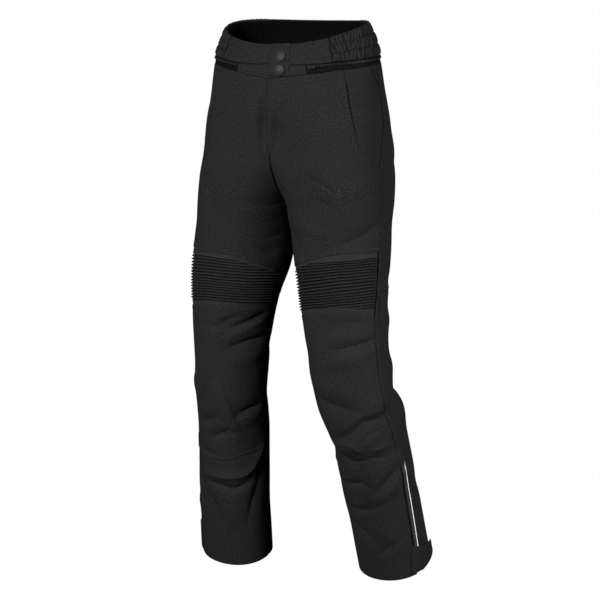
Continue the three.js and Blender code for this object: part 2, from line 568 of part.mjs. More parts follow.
// Mesh lining inside the waist, in view through the open top.
{
  const angles = spread(-89.5, 90, 17);
  const ring = [...angles.slice(0, -1).map((a) => [-1, a]), ...angles.reverse().map((a) => [1, a])];
  roundBand('waist_lining', ring, [() => RIM + 2, () => 0, () => 30, () => 62], -BAND - 0.8, 1, MESH);
}
// Fly flap along the middle front, lying on the left panel and lapping over the right one.
{
  const rows = [34, 58, 84, 110, 134, 154, 170, 182];
  const reach = [20, 21, 21, 20, 18, 15, 10, 4];
  const outer = [];
  const inner = [];
  rows.forEach((drop, i) => {
    const start = middleAngle(drop, -1);
    const per = degreesPerMm(1, drop, start);
    const widths = spread(0, reach[i] + 10, 4);
    const points = (lift) => widths.map((width) => spot(1, drop, start + width * per, lift));
    const proud = points(1.7);
    const under = points(0.5);
    for (const p of [proud[0], under[0]]) p.x -= 3.4;
    outer.push(proud);
    inner.push(under);
  });
  wall('fly_flap', outer, inner, TEXTILE);
}
// Waist tab that closes the front, with its two snaps.
{
  const rows = [RIM - 0.6, -14, 0, 14, 27];
  const place = (lift) => rows.map((drop) => spread(0, 1, 4).map((share) => {
    const p = spot(1, drop, mix(-89.6, -71, share), lift);
    if (share === 0) p.x -= 3.4;
    return p;
  }));
  wall('waist_tab', place(3.0), place(1.0), TEXTILE);
}
function turned(name, profile, segments, place, along, finishOf) {
  const points = [];
  const triangles = [];
  const direction = along.clone().normalize();
  const side = new THREE.Vector3(0, 0, 1).cross(direction).normalize();
  const up = direction.clone().cross(side);
  const rings = profile.map(([radius, height]) => {
    const count = radius === 0 ? 1 : segments;
    return Array.from({ length: count }, (_, i) => {
      const angle = 2 * Math.PI * i / segments;
      const p = place.clone().addScaledVector(direction, height)
        .addScaledVector(side, radius * Math.cos(angle)).addScaledVector(up, radius * Math.sin(angle));
      return points.push(p) - 1;
    });
  });
  for (let k = 0; k + 1 < rings.length; k += 1) {
    for (let i = 0; i < segments; i += 1) {
      const [a, b] = [rings[k], rings[k + 1]];
      const [a0, a1] = [a[i % a.length], a[(i + 1) % a.length]];
      const [b0, b1] = [b[i % b.length], b[(i + 1) % b.length]];
      if (a.length > 1) triangles.push([a0, a1, b0]);
      if (b.length > 1) triangles.push([a1, b1, b0]);
    }
  }
  return finish(name, points, triangles, finishOf);
}
for (const [name, drop] of [['snap_upper', -9], ['snap_lower', 16]]) {
  const place = spot(1, drop, -80, 0);
  const along = spot(1, drop, -80, 1).sub(place);
  const r = SNAP_ACROSS / 2;
  turned(name, [[0, 3.4], [r - 1.6, 3.4], [r, 4], [r, 5.2], [r - 1.2, 6.3], [r * 0.55, 7.2], [0, 7.5]],
    20, place, along, METAL);
}
// Slider of the jacket zip, parked at its left end.
{
  const place = (lift, wide) => [11.4, 14, 16.6].map((drop, i) => [-1, 1].map((way) => (
    spot(1, drop, -52.5 + way * wide[i], lift))));
  wall('jacket_zip_slider', place(4.6, [2.6, 3.3, 2.6]), place(1.7, [2.9, 3.6, 2.9]), METAL);
}

export default parts;
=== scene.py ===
import bpy
import numpy as np
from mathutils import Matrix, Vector


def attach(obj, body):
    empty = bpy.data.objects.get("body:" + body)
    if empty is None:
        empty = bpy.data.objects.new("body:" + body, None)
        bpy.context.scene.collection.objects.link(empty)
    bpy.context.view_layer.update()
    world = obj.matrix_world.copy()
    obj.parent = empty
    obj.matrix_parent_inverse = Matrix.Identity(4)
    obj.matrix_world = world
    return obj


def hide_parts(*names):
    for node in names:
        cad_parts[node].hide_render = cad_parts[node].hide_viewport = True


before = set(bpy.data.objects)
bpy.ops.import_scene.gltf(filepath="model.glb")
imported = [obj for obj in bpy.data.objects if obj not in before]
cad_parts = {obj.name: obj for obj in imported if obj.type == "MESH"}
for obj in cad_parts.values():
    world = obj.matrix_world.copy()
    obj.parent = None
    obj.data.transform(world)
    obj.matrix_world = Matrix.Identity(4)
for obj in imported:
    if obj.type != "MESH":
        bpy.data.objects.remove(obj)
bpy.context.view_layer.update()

# Front panels: the cloth over each thigh, from the waist strip to the knee ribs. Coated
# polyester in a coarse plain weave, cut in one piece for each leg, sewn down the middle and
# the inside leg, with a turned and double stitched pocket edge.
MM = 0.001
RIM = -30.0
HEM = 1030.0
HEM_BACK = 20.0
CROTCH = 288.0
SIDES = {"left": 1, "right": -1}
# Each row is a section of a leg: drop below the waist, reach along X, half depths and tilt.
SECTION = ("drop", "outer", "inner", "front", "back", "mid", "square", "lean", "dip", "tilt")
SECTIONS = (
    (-30, 129, -129, 96, 102, 0, 2.15, 0.065, 17, 0.045),
    (0, 143, -143, 107, 113, 0, 2.15, 0.065, 15, 0.04),
    (25, 150, -150, 111, 117, 0, 2.2, 0.065, 12, 0.035),
    (80, 158, -139, 117, 124, 0, 2.4, 0.06, 5, 0.02),
    (150, 166, -106, 119, 132, 2, 2.7, 0.03, 0, 0),
    (200, 168, -56, 118, 133, 4, 2.75, 0.015, 0, 0),
    (245, 170, -18, 113, 127, 6, 2.9, 0, 0, 0),
    (290, 170, 1, 107, 112, 8, 2.8, 0, 0, 0),
    (350, 171, 3, 98, 98, 8, 2.35, 0, 0, 0),
    (440, 168, 6, 86, 87, 4, 2.15, 0, 0, 0),
    (520, 159, 10, 80, 80, 2, 2.1, 0, 0, 0),
    (620, 151, 14, 72, 75, 2, 2.1, 0, 0, 0),
    (740, 148, 18, 69, 71, 2, 2.1, 0, 0, 0),
    (880, 149, 17, 67, 69, 2, 2.1, 0, 0, 0),
    (1030, 150, 15, 70, 70, 2, 2.1, 0, 0, 0),
)
# How each leg is carried: shift outwards, shift to the rear and lift, by drop.
POSE = ("drop", "out", "back", "rise")
POSES = {
    1: (
        (20, 0, 0, 0), (120, -2, 0, 0), (200, -1, 0, 0), (288, 5, -4, 0), (440, 18, -24, 0),
        (560, 38, -34, 2), (640, 52, -28, 3), (740, 68, 8, 4), (880, 77, 54, 7), (1030, 86, 98, 12),
    ),
    -1: (
        (20, 0, 0, 0), (120, -6, 0, 0), (200, -3, 0, 0), (288, 7, -4, 0), (440, 28, -20, 0),
        (560, 37, -30, 2), (640, 40, -32, 2), (740, 45, -18, 3), (880, 56, 4, 4), (1030, 66, 34, 5),
    ),
}
# Cloth that hangs further in towards the other leg, in mm by drop.
SLACK_INSIDE = {
    1: (
        (288, 0), (300, 1), (315, 2.6), (330, 2.6), (350, 3), (380, 3), (440, -1), (540, 0), (600, 8),
        (640, 6), (690, -1), (716, -1), (768, 6), (850, 8), (930, 5), (1050, 4),
    ),
    -1: (
        (288, 0), (300, 0), (315, 1), (330, 4), (350, 8.6), (380, 12), (405, 12), (430, 10), (470, 4),
        (560, 1), (640, 0), (700, 2), (760, 5), (850, 5), (940, 3), (1050, 3),
    ),
}


def curve(rows, column, x, slope=False):
    """Smooth line through a table's column, or its slope."""
    x = np.asarray(x, float)
    knots = np.array([row[0] for row in rows], float)
    heights = np.array([row[column] for row in rows], float)
    gaps = np.diff(knots)
    secants = np.diff(heights) / gaps
    slopes = np.zeros(len(knots))
    slopes[0] = secants[0]
    slopes[-1] = secants[-1]
    for i in range(1, len(knots) - 1):
        if secants[i - 1] * secants[i] > 0:
            first = 2 * gaps[i] + gaps[i - 1]
            second = gaps[i] + 2 * gaps[i - 1]
            slopes[i] = (first + second) / (first / secants[i - 1] + second / secants[i])
    i = np.clip(np.searchsorted(knots, x, side="right") - 1, 0, len(knots) - 2)
    gap = gaps[i]
    t = (x - knots[i]) / gap
    if slope:
        rise = (6 * t * t - 6 * t) * (heights[i] - heights[i + 1]) / gap
        return rise + (3 * t * t - 4 * t + 1) * slopes[i] + (3 * t * t - 2 * t) * slopes[i + 1]
    return (
        (1 + 2 * t) * (1 - t) ** 2 * heights[i]
        + t * (1 - t) ** 2 * gap * slopes[i]
        + t * t * (3 - 2 * t) * heights[i + 1]
        + t * t * (t - 1) * gap * slopes[i + 1]
    )


def section(name, drop, slope=False):
    return curve(SECTIONS, SECTION.index(name), drop, slope)


def carried(side, name, drop, slope=False):
    return curve(POSES[side], POSE.index(name), np.maximum(drop, 20.0), slope)


def ease(start, end, x):
    t = np.clip((x - start) / (end - start), 0, 1)
    return t * t * (3 - 2 * t)


def slack_inside(side, drop):
    return curve(SLACK_INSIDE[side], 1, np.maximum(drop, CROTCH))


def hem_drop(degrees):
    """Drop of the leg's end, which hangs lower at the back."""
    return HEM + HEM_BACK * (1 - np.cos(np.radians(degrees + 90))) / 2


def form(side, drop, degrees):
    """Outer face of the cloth in mm: 0 is the wearer's side, -90 the front, 180 the inside leg."""
    drop, degrees = np.broadcast_arrays(np.asarray(drop, float), np.asarray(degrees, float))
    angle = np.radians(degrees)
    outer = section("outer", drop)
    inner = section("inner", drop) - slack_inside(side, drop)
    middle = (outer + inner) / 2
    half = (outer - inner) / 2
    power = section("square", drop)
    mid = section("mid", drop)
    depth = np.where(np.sin(angle) < 0, section("front", drop) + mid, section("back", drop) - mid)
    reach = (np.abs(np.cos(angle) / half) ** power + np.abs(np.sin(angle) / depth) ** power) ** (-1 / power)
    rx = reach * np.cos(angle)
    ry = reach * np.sin(angle)
    leg = ease(CROTCH, CROTCH + 130, drop)
    slope_x = (
        section("outer", drop, True) + section("inner", drop, True)
    ) / 2 + carried(side, "out", drop, True)
    slope_y = section("mid", drop, True) + carried(side, "back", drop, True)
    free = 1 - (1 - ease(0, 100, middle + rx)) * (1 - ease(CROTCH, CROTCH + 60, drop))
    dip = section("dip", drop) * (ry / depth) ** 2 * np.where(ry < 0, 1, 0.7)
    hips = section("lean", drop) * (mid + ry) - dip + side * section("tilt", drop) * (middle + rx)
    x = middle + rx + carried(side, "out", drop) * free
    y = mid + ry + carried(side, "back", drop) * free
    z = -drop + leg * (slope_x * rx + slope_y * ry) + carried(side, "rise", drop) + (1 - leg) * hips
    return np.stack([side * x, y, z], -1)


def middle_angle(drop, face):
    """Where a ring reaches the middle seam, at the front (-1) or the back (1)."""
    outer = section("outer", drop)
    inner = section("inner", drop)
    half = (outer - inner) / 2
    power = section("square", drop)
    mid = section("mid", drop)
    depth = section("front", drop) + mid if face < 0 else section("back", drop) - mid
    middle = (outer + inner) / 2 - 0.2
    height = depth * np.maximum(0, 1 - np.clip(middle / half, 0, 1) ** power) ** (1 / power)
    return face * np.degrees(np.arctan2(height, -middle))


# Broad folds of the worn cloth: two ends, half width and height of each.
FOLDS = {
    1: (
        (300, -134, 372, -114, 16, -3.5), (296, -110, 335, -82, 20, 2.5), (190, -100, 150, -55, 26, -2),
        (345, -70, 313, -26, 16, -2.5), (541, -86, 531, -27, 11, -3.5), (519, -80, 512, -35, 14, 2.5),
        (556, -104, 552, -40, 15, 3), (500, -100, 506, -50, 12, -2.5), (618, -139, 647, -67, 14, -3),
        (596, -100, 620, -60, 18, 3), (686, -108, 666, -60, 12, -5), (666, -60, 668, -22, 11, -4),
        (706, -116, 690, -62, 14, 3.5), (640, -55, 648, -18, 13, 3), (730, -70, 740, -30, 15, -3),
        (716, -130, 744, -95, 13, -2.5), (815, -138, 793, -89, 12, -3.5), (778, -30, 820, -71, 12, -3),
        (800, -26, 842, -62, 13, 2.5), (868, -128, 841, -52, 14, -3), (905, -70, 965, -45, 17, 2.5),
        (902, -128, 931, -86, 15, -2.5), (971, -86, 937, -51, 14, -2.5), (560, -140, 610, -150, 16, -3),
        (468, 30, 478, 120, 17, -4), (505, 20, 520, 100, 18, 4), (552, 40, 566, 150, 17, -5),
        (596, 10, 620, 110, 20, 4.5), (650, 30, 668, 140, 18, -5), (700, 5, 712, 100, 20, 4),
        (748, 60, 765, 160, 18, -3.5), (330, 40, 385, 110, 24, -4), (290, 110, 360, 60, 22, 3),
        (240, 60, 300, 110, 26, -4), (165, 70, 205, 30, 28, 3), (850, 20, 900, 90, 20, -3),
        (410, -2, 440, 40, 16, -2.5),
    ),
    -1: (
        (190, -63, 325, -108, 20, 2.5), (246, -66, 307, -82, 15, -2), (312, -126, 330, -152, 14, -3),
        (366, -128, 372, -152, 13, -3), (180, -95, 150, -55, 26, -2), (566, -112, 553, -140, 10, -4),
        (553, -140, 551, -172, 10, -3.5), (500, -96, 560, -88, 14, 3), (518, -118, 528, -78, 10, -3),
        (531, -109, 503, -160, 10, -3.5), (590, -130, 580, -168, 14, 3), (640, -92, 742, -122, 12, 4.5),
        (640, -76, 690, -62, 15, -3), (688, -124, 681, -162, 12, -4.5), (706, -128, 700, -164, 13, 3),
        (716, -60, 695, -91, 11, -3), (743, -84, 721, -112, 11, -3), (660, -58, 640, -30, 16, 3),
        (830, -63, 820, -132, 12, 4), (815, -140, 770, -170, 12, 3.5), (850, -80, 856, -120, 11, -4),
        (856, -120, 838, -146, 11, -3.5), (872, -61, 946, -98, 14, -3.5), (869, -110, 938, -115, 16, 3),
        (824, -168, 943, -137, 15, -3.5), (470, 30, 482, 120, 17, -4), (512, 20, 524, 100, 18, 3.5),
        (560, 45, 575, 150, 17, -4.5), (608, 10, 630, 110, 20, 4), (662, 35, 680, 140, 18, -4.5),
        (716, 5, 728, 100, 20, 3.5), (330, 45, 380, 112, 24, -4), (286, 112, 350, 62, 22, 3),
        (236, 62, 296, 112, 26, -4), (170, 66, 208, 28, 28, 3), (845, 30, 905, 95, 20, -3),
        (415, -2, 446, 40, 16, -2.5),
    ),
}
# Sharper creases on them: height, half width, then drop and angle of each point along the crease.
CREASES = {
    1: (
        (-2.6, 4, (538, -82), (533, -65), (531, -28)), (-1.4, 5, (492, -85), (491, -59), (497, -45)),
        (-2.2, 7, (618, -139), (633, -98), (647, -67)),
        (2.8, 6, (677, -104), (654, -69), (653, -43), (660, -22)),
        (-3.0, 6, (684, -101), (664, -62), (668, -32)), (2.6, 6, (689, -112), (694, -86), (715, -75)),
        (-2.6, 6, (702, -88), (684, -59), (685, -34)),
        (-2.6, 8, (722, -115), (742, -99), (736, -63), (746, -38)),
        (2.2, 7, (712, -66), (722, -36)), (2.2, 6, (800, -142), (783, -104)),
        (-3.0, 6, (815, -138), (793, -89), (808, -70)), (-2.8, 6, (778, -30), (800, -52), (820, -71)),
        (2.4, 6, (792, -24), (814, -45), (836, -66)), (-2.4, 7, (868, -128), (860, -81), (841, -52)),
        (2.0, 7, (852, -126), (842, -88)), (-2.2, 8, (902, -128), (931, -86)),
        (-2.4, 7, (971, -86), (937, -51)),
        (-2.8, 8, (683, -14), (752, 12)), (2.4, 9, (696, -18), (768, 16)), (2.8, 10, (629, -2), (719, 25)),
        (-1.2, 7, (205, -89), (241, -68)), (-1.2, 7, (250, -90), (271, -71)),
        (-2.4, 9, (313, -136), (354, -119)),
        (1.6, 9, (310, -105), (327, -85)), (-1.6, 9, (345, -70), (313, -26)),
        (-1.6, 5, (80, -86), (108, -82)),
        (-2.2, 6, (100, -29), (99, -20), (117, -9)), (-2.0, 7, (127, -29), (151, -8)),
        (-1.6, 6, (79, -26), (81, -16)),
        (-2.4, 7, (466, 30), (472, 70), (484, 104)), (-2.0, 7, (534, 52), (538, 90), (550, 134)),
        (-3.0, 6, (556, 44), (560, 90), (572, 128)), (-2.4, 7, (634, 40), (642, 80), (656, 118)),
        (-2.8, 6, (664, 34), (670, 76), (682, 110)), (-2.0, 8, (738, 78), (754, 134)),
        (-2.2, 9, (346, 62), (380, 98)),
        (1.8, 9, (300, 84), (338, 66)), (-2.0, 9, (252, 74), (284, 96)), (-1.8, 8, (812, 60), (838, 110)),
        (1.6, 8, (906, 34), (938, 72)), (-1.5, 10, (206, 30), (244, 52)), (-1.8, 9, (940, 60), (984, 110)),
        (-1.6, 6, (446, -16), (500, -10)), (1.6, 7, (430, -8), (520, 2)),
    ),
    -1: (
        (-3.0, 7, (527, -93), (510, -112), (505, -128)), (-3.0, 6, (531, -109), (518, -132), (501, -166)),
        (2.0, 7, (540, -116), (526, -140), (512, -168)), (-3.0, 4, (562, -113), (552, -140), (549, -171)),
        (-2.4, 6, (573, -50), (551, -70)), (2.0, 10, (503, -85), (563, -89), (627, -91)),
        (3.2, 6, (636, -97), (662, -110), (718, -123)), (-2.8, 8, (645, -78), (668, -66), (688, -62)),
        (-3.0, 4, (688, -124), (682, -148), (685, -175)), (2.2, 6, (698, -124), (694, -150)),
        (-2.8, 6, (716, -60), (695, -91)), (2.6, 6, (695, -91), (730, -108)),
        (-2.8, 6, (743, -84), (721, -108), (731, -120)), (-2.2, 6, (779, -55), (785, -88)),
        (3.2, 7, (830, -63), (823, -128), (812, -145), (768, -172)),
        (-3.4, 6, (847, -66), (850, -92), (856, -119), (842, -140)),
        (-3.0, 7, (872, -61), (895, -83), (946, -98)),
        (-3.0, 7, (824, -168), (890, -147), (943, -137)), (2.2, 8, (869, -110), (938, -115)),
        (-1.2, 6, (884, -96), (886, -112)), (-1.8, 7, (127, -43), (109, -53)),
        (1.4, 12, (190, -63), (250, -88), (325, -108)),
        (-1.4, 12, (246, -66), (307, -82)), (-2.6, 8, (316, -130), (324, -151)),
        (-2.8, 8, (347, -131), (345, -150), (338, -163)), (-2.4, 7, (377, -132), (377, -154)),
        (-1.6, 10, (147, -86), (111, -94)), (-2.2, 7, (470, 34), (476, 70), (486, 106)),
        (-2.0, 7, (538, 50), (542, 90), (552, 132)), (-2.8, 6, (564, 48), (568, 90), (580, 128)),
        (-2.4, 7, (640, 42), (650, 84), (662, 120)), (-2.8, 6, (674, 34), (680, 78), (692, 110)),
        (-2.0, 8, (742, 76), (760, 136)), (-2.2, 9, (342, 60), (378, 100)), (1.8, 9, (302, 86), (336, 64)),
        (-2.0, 9, (248, 76), (286, 98)), (-1.8, 8, (816, 58), (842, 112)), (1.6, 8, (900, 32), (936, 76)),
        (-1.5, 10, (210, 32), (246, 54)), (-2.0, 7, (600, -40), (650, -30)), (1.6, 7, (886, -44), (930, -30)),
        (-1.8, 9, (944, 62), (988, 108)),
    ),
}


def line_shape(drop, degrees, scale, points, width, sharp):
    """A fold's profile: 1 on its line of points, 0 away from it, lower towards its ends."""
    middle = (points[0][1] + points[-1][1]) / 2
    across = ((degrees - middle + 180) % 360 - 180) * scale
    runs = [np.hypot((b[1] - a[1]) * 1.4, b[0] - a[0]) for a, b in zip(points, points[1:])]
    nearest = np.full(np.shape(drop), 1e6)
    share = np.zeros(np.shape(drop))
    done = 0.0
    for a, b, run in zip(points, points[1:], runs):
        start = (a[1] - middle) * scale
        reach = (b[1] - a[1]) * scale
        rise = b[0] - a[0]
        held = np.clip(((across - start) * reach + (drop - a[0]) * rise) / (reach**2 + rise**2), 0, 1)
        away = np.hypot(across - start - reach * held, drop - a[0] - rise * held)
        share = np.where(away < nearest, (done + run * held) / sum(runs), share)
        nearest = np.minimum(nearest, away)
        done += run
    if sharp:
        ends = np.sin(np.pi * (0.03 + 0.94 * share)) ** 0.7
        return ends * (0.4 * np.exp(-((nearest / width) ** 2)) + 0.6 * np.exp(-nearest / (0.5 * width)))
    ends = 0.35 + 0.65 * np.sin(np.pi * (0.1 + 0.8 * share))
    return ends * np.exp(-((nearest / width) ** 2))


def fold_height(side, drop, degrees, x):
    half = (section("outer", drop) - section("inner", drop)) / 2
    scale = np.radians(1) * np.clip(half, 66, 120)
    broad = np.zeros(np.shape(drop))
    for drop1, angle1, drop2, angle2, width, tall in FOLDS[side]:
        ends = ((drop1, angle1), (drop2, angle2))
        broad += tall * line_shape(drop, degrees, scale, ends, width, False)
    narrow = np.zeros(np.shape(drop))
    for tall, width, *points in CREASES[side]:
        narrow += 1.35 * tall * line_shape(drop, degrees, scale, points, 0.9 * width, True)
    near_middle = 1 - (1 - ease(4, 42, x)) * (1 - ease(CROTCH + 20, CROTCH + 90, drop))
    hem = 1 - ease(HEM - 40, HEM - 8, drop)
    total = np.clip(broad, -6, 6) * ease(100, 150, drop) + np.clip(narrow, -5.2, 5.2) * ease(50, 80, drop)
    return total * near_middle * hem


# Hollows at the foot of the fly and beside it: middle and half width along X, middle and half
# height by drop, and depth.
HOLLOWS = ((15, 12, 140, 30, 10.0), (-11, 8, 132, 46, 9.5))
CLEFT_DEPTH = 2.5


def pushed_in(base, drop):
    """How far the front lies back between the thighs and in the hollows at the fly."""
    x = base[..., 0]
    back = CLEFT_DEPTH * np.exp(-((x / 20) ** 2)) * ease(150, 225, drop) * (1 - ease(300, 350, drop))
    for middle, wide, level, tall, depth in HOLLOWS:
        back = back + depth * np.exp(-(((x - middle) / wide) ** 2)) * np.exp(-(((drop - level) / tall) ** 2))
    return back * ease(0, 50, -base[..., 1])


def spot(side, drop, degrees, lift=0.0):
    """A spot on the worn cloth, moved out by lift, in mm."""
    base = form(side, drop, degrees)
    along_drop = form(side, drop + 0.5, degrees) - form(side, drop - 0.5, degrees)
    along_angle = form(side, drop, degrees + 0.4) - form(side, drop, degrees - 0.4)
    normal = -side * np.cross(along_angle, along_drop)
    normal /= np.linalg.norm(normal, axis=-1, keepdims=True)
    drop, degrees = np.broadcast_arrays(np.asarray(drop, float), np.asarray(degrees, float))
    height = fold_height(side, drop, degrees, np.abs(base[..., 0]))
    moved = base + normal * (lift + height)[..., None]
    moved[..., 1] += pushed_in(base, drop)
    return moved


WAIST_SEAMS = (
    (-90, 3, 33), (-74, 6, 28), (-57, 8, 26), (-38, 11, 26), (-24, 16, 30), (10, 27, 39), (50, 30, 42),
    (90, 28, 40),
)


def band_seam(degrees):
    return curve(WAIST_SEAMS, 1, np.clip(degrees, -90, 90))


def strip_seam(degrees):
    return curve(WAIST_SEAMS, 2, np.clip(degrees, -90, 90))


SIDE_SEAM = (
    (28, -8), (46, -5), (81, 4), (132, 6), (177, 0), (216, -9), (300, -20), (417, -20),
    (492, -24), (612, -22), (742, -23), (1030, -19),
)
POCKET_EDGE = ((28, -30), (126, -32), (169, -32), (181, -29), (197, -22.5), (213, -12.6), (219, -9.9))
# Seams across the front of each leg: rib top, rib end and knee end by angle.
ACROSS = {
    1: (
        (-180, 410, 494, 776), (-130, 398, 480, 764), (-89, 378, 473, 762),
        (-69, 368, 473, 762), (-22, 368, 490, 770),
    ),
    -1: (
        (-180, 418, 506, 778), (-140, 404, 491, 778), (-97, 393, 488, 791),
        (-52, 404, 500, 794), (-22, 404, 508, 792),
    ),
}


def side_seam(drop):
    return curve(SIDE_SEAM, 1, np.maximum(drop, 28))


def pocket_edge(drop):
    return curve(POCKET_EDGE, 1, np.clip(drop, 28, 219))


def rib_top(side, degrees):
    return curve(ACROSS[side], 1, np.clip(degrees, -180, -22))


def rib_end(side, degrees):
    return curve(ACROSS[side], 2, np.clip(degrees, -180, -22))


def knee_end(side, degrees):
    return curve(ACROSS[side], 3, np.clip(degrees, -180, -22))


def steps(length, pitch, fine_start, fine_end):
    """Shares from 0 to 1, finer by an edge that is sewn."""
    near = np.array([0, 0.5, 1.1, 1.8, 2.4, 3.0, 3.6, 4.6, 6.0])
    start = near if fine_start else near[:1]
    end = length - (near if fine_end else near[:1])[::-1]
    count = max(2, int(round((end[0] - start[-1]) / pitch)))
    return np.concatenate([start, np.linspace(start[-1], end[0], count + 1)[1:-1], end]) / length


def lay_out(side, edges, top, end, size, pitch, fine=(True, True, True, True), hinge=None):
    """Drop and angle of each point of a panel; size is its width and length in mm.

    With a hinge angle, only the columns before it swing with the crotch curve of the first edge,
    and the rows lie closer together at the crotch.
    """
    across = steps(size[0], pitch, fine[2], fine[3])[None, :]
    along = steps(size[1], pitch, fine[0], fine[1])[:, None]
    if hinge is not None:
        start = top(np.sign(hinge) * 90.0)
        low, high = (CROTCH + np.array([-30.0, 3.0]) - start) / (end(np.sign(hinge) * 180.0) - start)
        near = np.linspace(low, high, 45)
        along = np.concatenate(
            [along[:, 0][along[:, 0] < low], near, along[:, 0][along[:, 0] > high]]
        )[:, None]
    drop = np.full((along.size, across.size), 0.0) + top(-60.0) * (1 - along) + end(-60.0) * along
    for _ in range(14):
        first = edges[0](drop)
        last = edges[1](drop)
        degrees = first + (last - first) * across
        if hinge is not None:
            swung = first + (hinge - first) * across / 0.45
            degrees = np.where(across < 0.45, swung, hinge + (last - hinge) * (across - 0.45) / 0.55)
        drop = top(degrees) * (1 - along) + end(degrees) * along
    return drop, degrees


def ripple(u, v, seed):
    """Smooth uneven waves from -1 to 1."""
    rng = np.random.default_rng(seed)
    total = 0
    for _ in range(6):
        heading = rng.uniform(0, 2 * np.pi)
        turn = rng.uniform(0, 2 * np.pi)
        total = total + np.sin((u * np.cos(heading) + v * np.sin(heading)) * rng.uniform(0.8, 1.4) + turn)
    return total / 4


def lengths(points):
    """Distance in mm across and along a grid of points."""
    across = np.linalg.norm(np.diff(points, axis=1), axis=-1)
    along = np.linalg.norm(np.diff(points, axis=0), axis=-1)
    u = np.concatenate([np.zeros((points.shape[0], 1)), np.cumsum(across, 1)], 1)
    v = np.concatenate([np.zeros((1, points.shape[1])), np.cumsum(along, 0)], 0)
    return u, v


def shell(name, outer, inner, u, v, material):
    """A closed thin shell of cloth between two grids of points, with its cut as the UV map."""
    rows, columns = outer.shape[:2]
    points = np.concatenate([outer.reshape(-1, 3), inner.reshape(-1, 3)]) * MM
    index = np.arange(rows * columns).reshape(rows, columns)
    under = index + rows * columns
    faces = [np.stack([index[:-1, :-1], index[1:, :-1], index[1:, 1:], index[:-1, 1:]], -1).reshape(-1, 4)]
    faces.append(
        np.stack([under[:-1, :-1], under[:-1, 1:], under[1:, 1:], under[1:, :-1]], -1).reshape(-1, 4)
    )
    for a, b in (
        (index[0], under[0]),
        (index[::-1, 0], under[::-1, 0]),
        (index[-1, ::-1], under[-1, ::-1]),
        (index[:, -1], under[:, -1]),
    ):
        faces.append(np.stack([a[:-1], a[1:], b[1:], b[:-1]], -1))
    faces = np.concatenate(faces)
    corners = points[faces]
    facing = np.cross(corners[:, 2] - corners[:, 0], corners[:, 3] - corners[:, 1])
    if np.sum(facing * corners.mean(1)) < 0:
        faces = faces[:, ::-1]
    mesh = bpy.data.meshes.new(name)
    mesh.from_pydata(points.tolist(), [], faces.tolist())
    cut = mesh.uv_layers.new(name="Cut")
    flat = np.concatenate([np.stack([u, v], -1).reshape(-1, 2)] * 2) * MM
    cut.data.foreach_set("uv", flat[faces.reshape(-1)].astype(np.float32).reshape(-1))
    mesh.shade_smooth()
    mesh.materials.append(material)
    piece = bpy.data.objects.new(name, mesh)
    bpy.context.scene.collection.objects.link(piece)
    return piece


# How an edge is sewn: turned in, lying under its neighbour, or lapped over it with stitches at
# these distances.
STITCHED = {"turned": (), "under": (), "lapped": (2.4,), "double": (2.0, 7.0)}


def edge_distance(u, v, edge):
    return {"top": v, "end": v[-1:, :] - v, "first": u, "last": u[:, -1:] - u}[edge]


def sewn_lift(u, v, sewn, seed, proud=0.0):
    """Height of sewn cloth: it turns down into its seams, puckers and waves a little."""
    lift = np.full(u.shape, proud) + 0.3 * ripple(u / 24, v / 24, seed)
    for number, (edge, kind) in enumerate(sewn.items()):
        distance = edge_distance(u, v, edge)
        run = u if edge in ("top", "end") else v
        pucker = ripple(run / 5.5, distance / 14, seed + number + 1)
        lift += 0.35 * pucker * np.exp(-((distance - 5) / 7) ** 2)
        if kind == "turned":
            lift -= 1.5 * np.exp(-((distance / 1.6) ** 2))
        elif kind == "under":
            lift -= 0.9 * np.exp(-((distance / 5) ** 2))
        else:
            lift += 0.7 * np.exp(-((distance / 7) ** 2)) - 1.2 * np.exp(-((distance / 0.8) ** 2))
        for stitch in STITCHED[kind]:
            lift -= 0.4 * np.exp(-(((distance - stitch) / 0.9) ** 2))
    return lift


# Lines to be stitched at the end, by group.
stitch_lines = {"waist": [], "left": [], "right": []}


def sew(group, outer, inner, u, v, edge, distance, keep=None):
    """Notes a row of stitches in a cloth at a distance from one of its edges."""
    away = edge_distance(u, v, edge)
    through = outer - inner
    out = outer + 0.12 * through / np.linalg.norm(through, axis=-1, keepdims=True)
    if edge in ("top", "end"):
        away = away.T
        out = out.transpose(1, 0, 2)
    line = []
    for number, (row, points) in enumerate(zip(away, out)):
        if keep is not None and not keep[number]:
            continue
        order = np.argsort(row)
        line.append([np.interp(distance, row[order], points[order, axis]) for axis in range(3)])
    stitch_lines[group].append(np.array(line))


def linear(code, alpha=1.0):
    """An sRGB hex colour as linear values."""
    parts = [int(code[i : i + 2], 16) / 255 for i in (1, 3, 5)]
    return (*[c / 12.92 if c <= 0.04045 else ((c + 0.055) / 1.055) ** 2.4 for c in parts], alpha)


def add(tree, kind, inputs=(), **settings):
    """Adds a node with its settings, and with values or links for its inputs."""
    node = tree.nodes.new(kind)
    for name, value in settings.items():
        setattr(node, name, value)
    for key, value in dict(inputs).items():
        if isinstance(value, bpy.types.NodeSocket):
            tree.links.new(value, node.inputs[key])
        else:
            node.inputs[key].default_value = value
    return node


def blank_material(name):
    material = bpy.data.materials.new(name)
    material.use_nodes = True
    material.node_tree.nodes.clear()
    return material, material.node_tree


